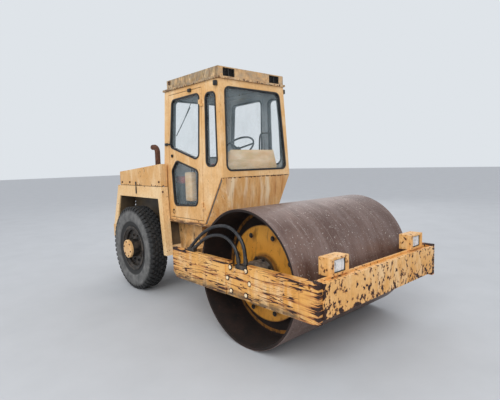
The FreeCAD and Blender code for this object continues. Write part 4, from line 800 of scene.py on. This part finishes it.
SILL, LEAN, RAKE, BACK_TILT = 1.170, math.atan(0.035 / 1.88), math.atan(0.075 / 1.25), math.atan(0.115 / 1.88)
SIDE_WINDOWS = (  # name, rides with the door, corners as y and height over the sill
    ("quarter", False, ((-0.478, 0.835), (-0.416, 0.770), (-0.216, 0.765), (-0.216, 1.740), (-0.451, 1.730))),
    ("door_upper", True, ((-0.071, 0.900), (0.025, 0.870), (0.677, 1.060), (0.599, 1.750), (-0.106, 1.760))),
    ("door_lower", True, ((-0.016, 0.230), (0.589, 0.200), (0.644, 0.730), (0.509, 0.880), (-0.046, 0.730))),
)
WINDSCREEN = ((-0.5553, 0.075), (0.5553, 0.075), (0.502, 1.1652), (-0.502, 1.1652))
REAR_WINDOW = ((-0.470, 0.900), (0.470, 0.900), (0.450, 1.7805), (-0.450, 1.7805))


def on_side(sign):
    """From the x-y plane, y along the machine and height over the sill, to a leaning side of the cab."""
    return (Matrix.Translation((sign * 0.625, 0, SILL)) @ Matrix.Rotation(-sign * LEAN, 4, "Y")
            @ Matrix.Rotation(sign * math.pi / 2, 4, "Z") @ Matrix.Rotation(math.pi / 2, 4, "X"))


on_front = Matrix.Translation((0, -0.581, 1.8)) @ Matrix.Rotation(math.pi / 2 - RAKE, 4, "X")
on_back = (Matrix.Translation((0, 0.899, SILL)) @ Matrix.Rotation(math.pi, 4, "Z")
           @ Matrix.Rotation(math.pi / 2 - BACK_TILT, 4, "X"))
SEAL = {"radius": 0.085, "inner": 0.025, "outer": 0.019, "proud": 0.010, "depth": 0.063, "edge": 0.007}
for side, sign in SIDES:
    for name, on_door, corners in SIDE_WINDOWS:
        piece = band([(sign * y, height) for y, height in corners], **SEAL)
        piece.matrix_world = on_side(sign)
        body = f"door_{side}" if on_door else "rear_frame"
        finished(piece, f"{name}_seal_{side}", seal_rubber, body)
for name, corners, place in (("windscreen_seal", WINDSCREEN, on_front),
                             ("rear_window_seal", REAR_WINDOW, on_back)):
    piece = band(corners, **SEAL)
    piece.matrix_world = place
    finished(piece, name, seal_rubber, "rear_frame")


# Cab fittings: black latches, stays and lamp brackets screwed to the cab, a drip rail under the doors, a
# ring to pull each door, two lifting eyes at the back of the roof and the wiper of the rear window.
def tube(points, radius):
    """A bent tube whose middle line runs smoothly along the points."""
    only_selected(smooth_line("tube", points, radius, 6, 3))
    bpy.ops.object.convert(target="MESH")
    return bpy.context.object


def wire(radius, reach, turns, shift=0.0):
    """The outline of a ring's wire, for ring_shape: reach is the ring's radius to the wire's middle."""
    return [(radius * math.cos(a) + shift, reach + radius * math.sin(a)) for a in map(math.radians, turns)]


def side_bar(sign, x, half, low, high, bevel=0.004, segments=2):
    """A bar on the right or left side, half as wide to each side of x, between two corners of y and z."""
    return bar((sign * x - half, *low), (sign * x + half, *high), bevel, segments)


# Black machine enamel, chalky, with brown dust
black_enamel = mottled("black_machine_enamel", 0.45, ("#131314", "#3A332C"), (0.05, 0.42, 0.75), ior=1.5)


def blackened(piece, name, body="rear_frame"):
    """Finish a piece in black enamel."""
    return finished(piece, name, black_enamel, body)


CAB_BITS = (  # body, middle along x, half width, lowest and highest corner as y and z, rounding
    ("rear_frame", 0.618, 0.022, (-0.505, 2.955), (-0.455, 3.020), 0.010),
    ("rear_frame", 0.606, 0.016, (0.085, 2.960), (0.150, 3.005), 0.008),
    ("rear_frame", 0.617, 0.013, (0.720, 2.262), (0.790, 2.300), 0.006),
    ("door", 0.617, 0.011, (0.655, 2.268), (0.715, 2.292), 0.006),
    ("door", 0.620, 0.014, (0.590, 2.085), (0.622, 2.130), 0.009),
)
for side, sign in SIDES:
    on_cab, on_door = [[side_bar(sign, *sizes) for owner, *sizes in CAB_BITS if owner == body]
                       for body in ("rear_frame", "door")]
    ring = ring_shape(wire(0.003, 0.028, range(0, 360, 60), -sign * 0.002), 32)
    ring.matrix_world = Matrix.Translation((sign * 0.632, 0.604, 1.290))
    on_door += [ring, side_bar(sign, 0.631, 0.008, (0.596, 1.310), (0.612, 1.328), 0.003)]
    blackened(joined(on_cab), f"cab_fittings_{side}")
    blackened(joined(on_door), f"door_fittings_{side}", f"door_{side}")
    rail = side_bar(sign, 0.637, 0.011, (-0.208, 1.146), (0.880, 1.176))
    finished(rail, f"drip_rail_{side}", cab_paint, "rear_frame")
    eye = ring_shape(wire(0.006, 0.022, range(0, 360, 45)), 28)
    eye.matrix_world = Matrix.Translation((sign * 0.598, 0.640, 3.160))
    finished(eye, f"lifting_eye_{side}", rust, "rear_frame")
wiper = [tube(((-0.110, 0.800, 2.955), (-0.150, 0.815, 2.860), (-0.262, 0.822, 2.640)), 0.005),
         tube(((-0.129, 0.812, 2.871), (-0.250, 0.820, 2.660), (-0.388, 0.836, 2.416)), 0.007),
         bar((-0.150, 0.775, 2.940), (-0.075, 0.806, 3.000), 0.008)]
blackened(joined(wiper), "rear_wiper")


# Roof vents: two air inlets in the front of the roof, each closed by black louvres of folded sheet.
VENT_X, VENT_LOW, VENT_HIGH = 0.410, 3.074, 3.186
for side, sign in SIDES:
    slats = [side_bar(sign, VENT_X, 0.098, (-0.480, VENT_LOW), (-0.469, VENT_HIGH), 0.002)]
    for number in range(7):
        z = 3.083 + 0.0158 * number
        slats.append(side_bar(sign, VENT_X, 0.096, (-0.497, z - 0.002), (-0.478, z + 0.003), 0.0015, 1))
    slats += [side_bar(sign, VENT_X + x, 0.004, (-0.499, VENT_LOW), (-0.478, VENT_HIGH), 0.0015, 1)
              for x in (-0.094, 0, 0.094)]
    blackened(joined(slats), f"roof_vent_{side}")


# Seat: two foam pads in faded red vinyl, sewn along their edges, on a black steel stand that is bolted to
# the floor. The vinyl has a fine grain, drawn at 3 mm.
SWELL = 0.022
seat_vinyl = mottled("seat_vinyl", 0.5, ("#7A2320", "#9C4640"), (0.12, 0.35, 0.75), (0.003, 0.0005, 2),
                     ior=1.5)


def cushion(low, high):
    """A sewn vinyl cushion: a rounded block blown up by the foam, by SWELL at most."""
    piece = applied(bar(low, high, 0.028, 3), "REMESH", mode="VOXEL", voxel_size=0.008)
    before = [vertex.co.copy() for vertex in piece.data.vertices]
    cloth = piece.modifiers.new("foam", "CLOTH")
    cloth.settings.use_pressure = True
    cloth.settings.uniform_pressure_force = 4
    cloth.settings.effector_weights.gravity = 0
    for step in range(1, 21):
        scene.frame_set(step)
    only_selected(piece)
    bpy.ops.object.modifier_apply(modifier="foam")
    for vertex, place in zip(piece.data.vertices, before):
        moved = vertex.co - place
        if moved.length > SWELL:
            vertex.co = place + moved.normalized() * SWELL
    scene.frame_set(1)
    bpy.ops.object.shade_smooth()
    return piece


SEAT = (  # name, lowest and highest corner before the foam swells it
    ("seat_cushion", (-0.222, 0.172, 1.500), (0.222, 0.560, 1.582)),
    ("seat_back", (-0.222, 0.512, 1.625), (0.222, 0.588, 2.000)),
)
for name, low, high in SEAT:
    pad = finished(cushion(low, high), name, seat_vinyl, "rear_frame")
    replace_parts(pad, "seat")
stand = joined([bar((-0.225, 0.165, 1.466), (0.225, 0.595, 1.492), 0.008),
                bar((-0.150, 0.220, 1.170), (0.150, 0.520, 1.300), 0.020),
                bar((-0.110, 0.260, 1.295), (0.110, 0.480, 1.470), 0.015),
                bar((-0.180, 0.590, 1.480), (0.180, 0.606, 1.960), 0.007)])
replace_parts(blackened(stand, "seat_stand"), "seat")


# Dashboard: one moulding of cream plastic, dusty on top, with three dials in black rings on its slope. It
# spans the cab ahead of the steering wheel, which is hard black plastic over steel, rubbed grey.
def dash_plastic():
    """Moulded cream plastic, dusty on top."""
    material, shader, spot = start("dash_plastic", 0.55, ior=1.46)
    skin(shader, layered(spot, "#E6B982", ("#F5DAB2", (0.2, 0.2, 0.1), 0.35, 0.7),
                         ("#CDB077", (0.3, 0.3, 0.05), 0.45, 0.65, 0.6)))
    return material


def pointing(way):
    """The turn that makes what points to +x point this way."""
    return Vector((1, 0, 0)).rotation_difference(way).to_matrix().to_4x4()


cream_plastic = dash_plastic()
DASH = ((-0.316, 1.170), (-0.236, 1.170), (-0.286, 1.935), (-0.287, 2.007), (-0.476, 2.155), (-0.476, 1.925))
dash = prism(DASH, -0.460, 0.460, 0.0001)
for vertex in dash.data.vertices:
    if vertex.co.z > 2.1:  # the top is narrower
        vertex.co.y *= 0.86
applied(dash, "BEVEL", width=0.030, segments=5, limit_method="ANGLE", angle_limit=math.radians(30))
# The outline's x goes along the machine and its depth across, which mirrors the mesh
dash.matrix_world = Matrix(((0, 1, 0, 0), (1, 0, 0, 0), (0, 0, 1, 0), (0, 0, 0, 1)))
finished(dash, "dashboard_moulding", cream_plastic, "rear_frame")
only_selected(dash)
bpy.ops.object.mode_set(mode="EDIT")
bpy.ops.mesh.select_all(action="SELECT")
bpy.ops.mesh.normals_make_consistent(inside=False)
bpy.ops.object.mode_set(mode="OBJECT")
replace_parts(dash, "dashboard")
DIAL = ((0.0, 0.0005), (0.004, 0.0005), (0.004, 0.030), (0.008, 0.032), (0.010, 0.036), (0.004, 0.042),
        (0.0, 0.042))
slope = pointing(Vector((0, 0.616, 0.788)))
dial_places = [Matrix.Translation((x, -0.375, 2.076)) @ slope for x in (-0.20, -0.09, 0.09)]
blackened(copies(ring_shape(DIAL, 28), dial_places), "dashboard_dials")
wheel_plastic = mottled("wheel_plastic", 0.4, ("#1A1B1D", "#35363A"), (0.05, 0.45, 0.8), ior=1.46)
dress(wheel_plastic, "steering_wheel")


# Cab equipment: a cream control box with two levers and a black heater on the right of the seat, a red
# case strapped on the heater, and a bent grab rail inside the left door.
box = bar((-0.470, 0.365, 1.430), (-0.365, 0.535, 1.865), 0.028, 4)
finished(box, "control_box", cream_plastic, "rear_frame")
heater = joined([bar((-0.470, 0.575, 1.172), (-0.330, 0.800, 1.690), 0.012),
                 bar((-0.468, 0.375, 1.172), (-0.370, 0.525, 1.435), 0.012)])
blackened(heater, "heater_box")
case = bar((-0.468, 0.580, 1.690), (-0.335, 0.795, 1.800), 0.030, 4)
finished(case, "first_aid_case", seat_vinyl, "rear_frame")
LEVER_X = -0.400
levers = []
for y in (0.380, 0.450):
    levers.append(tube(((LEVER_X, y, 1.850), (LEVER_X, y - 0.02, 1.940), (LEVER_X, y - 0.05, 2.010)), 0.006))
    knob = ring_shape(wire(0.018, 0.0005, range(0, 181, 30)), 16)
    knob.location = (LEVER_X, y - 0.05, 2.015)
    levers.append(knob)
blackened(joined(levers), "control_levers")
RAIL = ((0.450, -0.130, 1.172), (0.450, -0.130, 1.900), (0.450, -0.134, 2.250), (0.450, -0.150, 2.400),
        (0.465, -0.215, 2.412), (0.510, -0.250, 2.412), (0.575, -0.262, 2.412))
blackened(tube(RAIL, 0.013), "grab_rail")


# Hose ends: steel sleeves crimped on both ends of each hose, greasy and dusty.
SLEEVE = ((0.0, 0.0196), (0.003, 0.0245), (0.050, 0.0245), (0.056, 0.0215), (0.056, 0.0196))
SLEEVE_SHIFT = 0.03
ends = []
for route in HOSE_ROUTES:
    for first, second in ((route[0], route[1]), (route[-1], route[-2])):
        way = Vector((0, second[0] - first[0], second[1] - first[1])).normalized()
        ends.append(Matrix.Translation(Vector((HOSE_X, *first)) + way * SLEEVE_SHIFT) @ pointing(way))
finished(copies(ring_shape(SLEEVE, 20), ends), "hose_sleeves", iron, "drum_frame")


# Headlamps: fluted glass over a silvered reflector, held by a rubber rim in a plate box on the crossbar.
def lamp_glass():
    """Pressed glass with upright flutes 9 mm apart; the reflector behind it is painted into its colour, pale
    grey with painted bright glints and dark patches.
    """
    material, shader, spot = start("fluted_lamp_glass", 0.12, metallic=0.1, ior=1.5)
    # Painted reflection: the pale grey, the white glints and the dark grey patches stand in for the reflector
    # behind the glass
    painted_reflector = layered(spot, "#CDD3D4", ("#FBFCFC", 0.05, 0.36, 0.5),
                     ("#6B7274", (0.03, 0.03, 0.10), 0.6, 0.66, 0.7))
    skin(shader, painted_reflector, ribs(add(spot, "SeparateXYZ", {0: spot}).outputs[0], 698), 0.0012)
    return material


dress(lamp_glass(), "lamp_lenses")
LENS_EDGE = ((-0.095, -0.065), (0.095, -0.065), (0.095, 0.065), (-0.095, 0.065))
rims = []
for x in (-0.710, 0.800):
    rim = band(LENS_EDGE, radius=0.014, inner=0.010, outer=0.005, proud=0.006, depth=0.014, edge=0.002)
    rim.matrix_world = Matrix.Translation((x, -2.391, 1.009)) @ Matrix.Rotation(math.pi / 2, 4, "X")
    rims.append(rim)
finished(joined(rims), "lamp_rims", seal_rubber, "drum_frame")


# Hood and tail: a rubber strip under the hood's edge, over-centre latches on its sides, and red tail
# lamps that lie flat on the leaning rear wall.
def lamp_red():
    """Red acrylic lens with ribs 8 mm apart."""
    material, shader, spot = start("red_acrylic", 0.2, ior=1.49)
    red = coat("#A3120E", "#C22A20", patches(spot, 0.05, 0.3, 0.7))
    skin(shader, red, ribs(add(spot, "SeparateXYZ", {0: spot}).outputs[0], 785), 0.0008)
    return material


red_acrylic = lamp_red()
LATCH_X = 0.755
for side, sign in SIDES:
    strip = side_bar(sign, 0.718, 0.016, (0.765, 1.6546), (2.125, 1.6606), 0.001, 1)
    finished(strip, f"hood_strip_{side}", seal_rubber, "rear_frame")
    latch = joined([side_bar(sign, LATCH_X, 0.006, (1.520, 1.668), (1.553, 1.722)),
                    side_bar(sign, LATCH_X - 0.001, 0.004, (1.529, 1.640), (1.544, 1.700), 0.002)])
    blackened(latch, f"hood_latch_{side}", "hood")
    blackened(side_bar(sign, LATCH_X, 0.006, (1.522, 1.530), (1.551, 1.640)), f"hood_catch_{side}")
    lens = bar((-0.070, -0.012, -0.040), (0.070, 0.016, 0.040), 0.008)
    leant = Matrix.Rotation(math.atan(REAR_SLOPE), 4, "X")
    lens.matrix_world = Matrix.Translation((sign * 0.560, 2.324, 1.335)) @ leant
    finished(lens, f"tail_lamp_{side}", red_acrylic, "rear_frame")
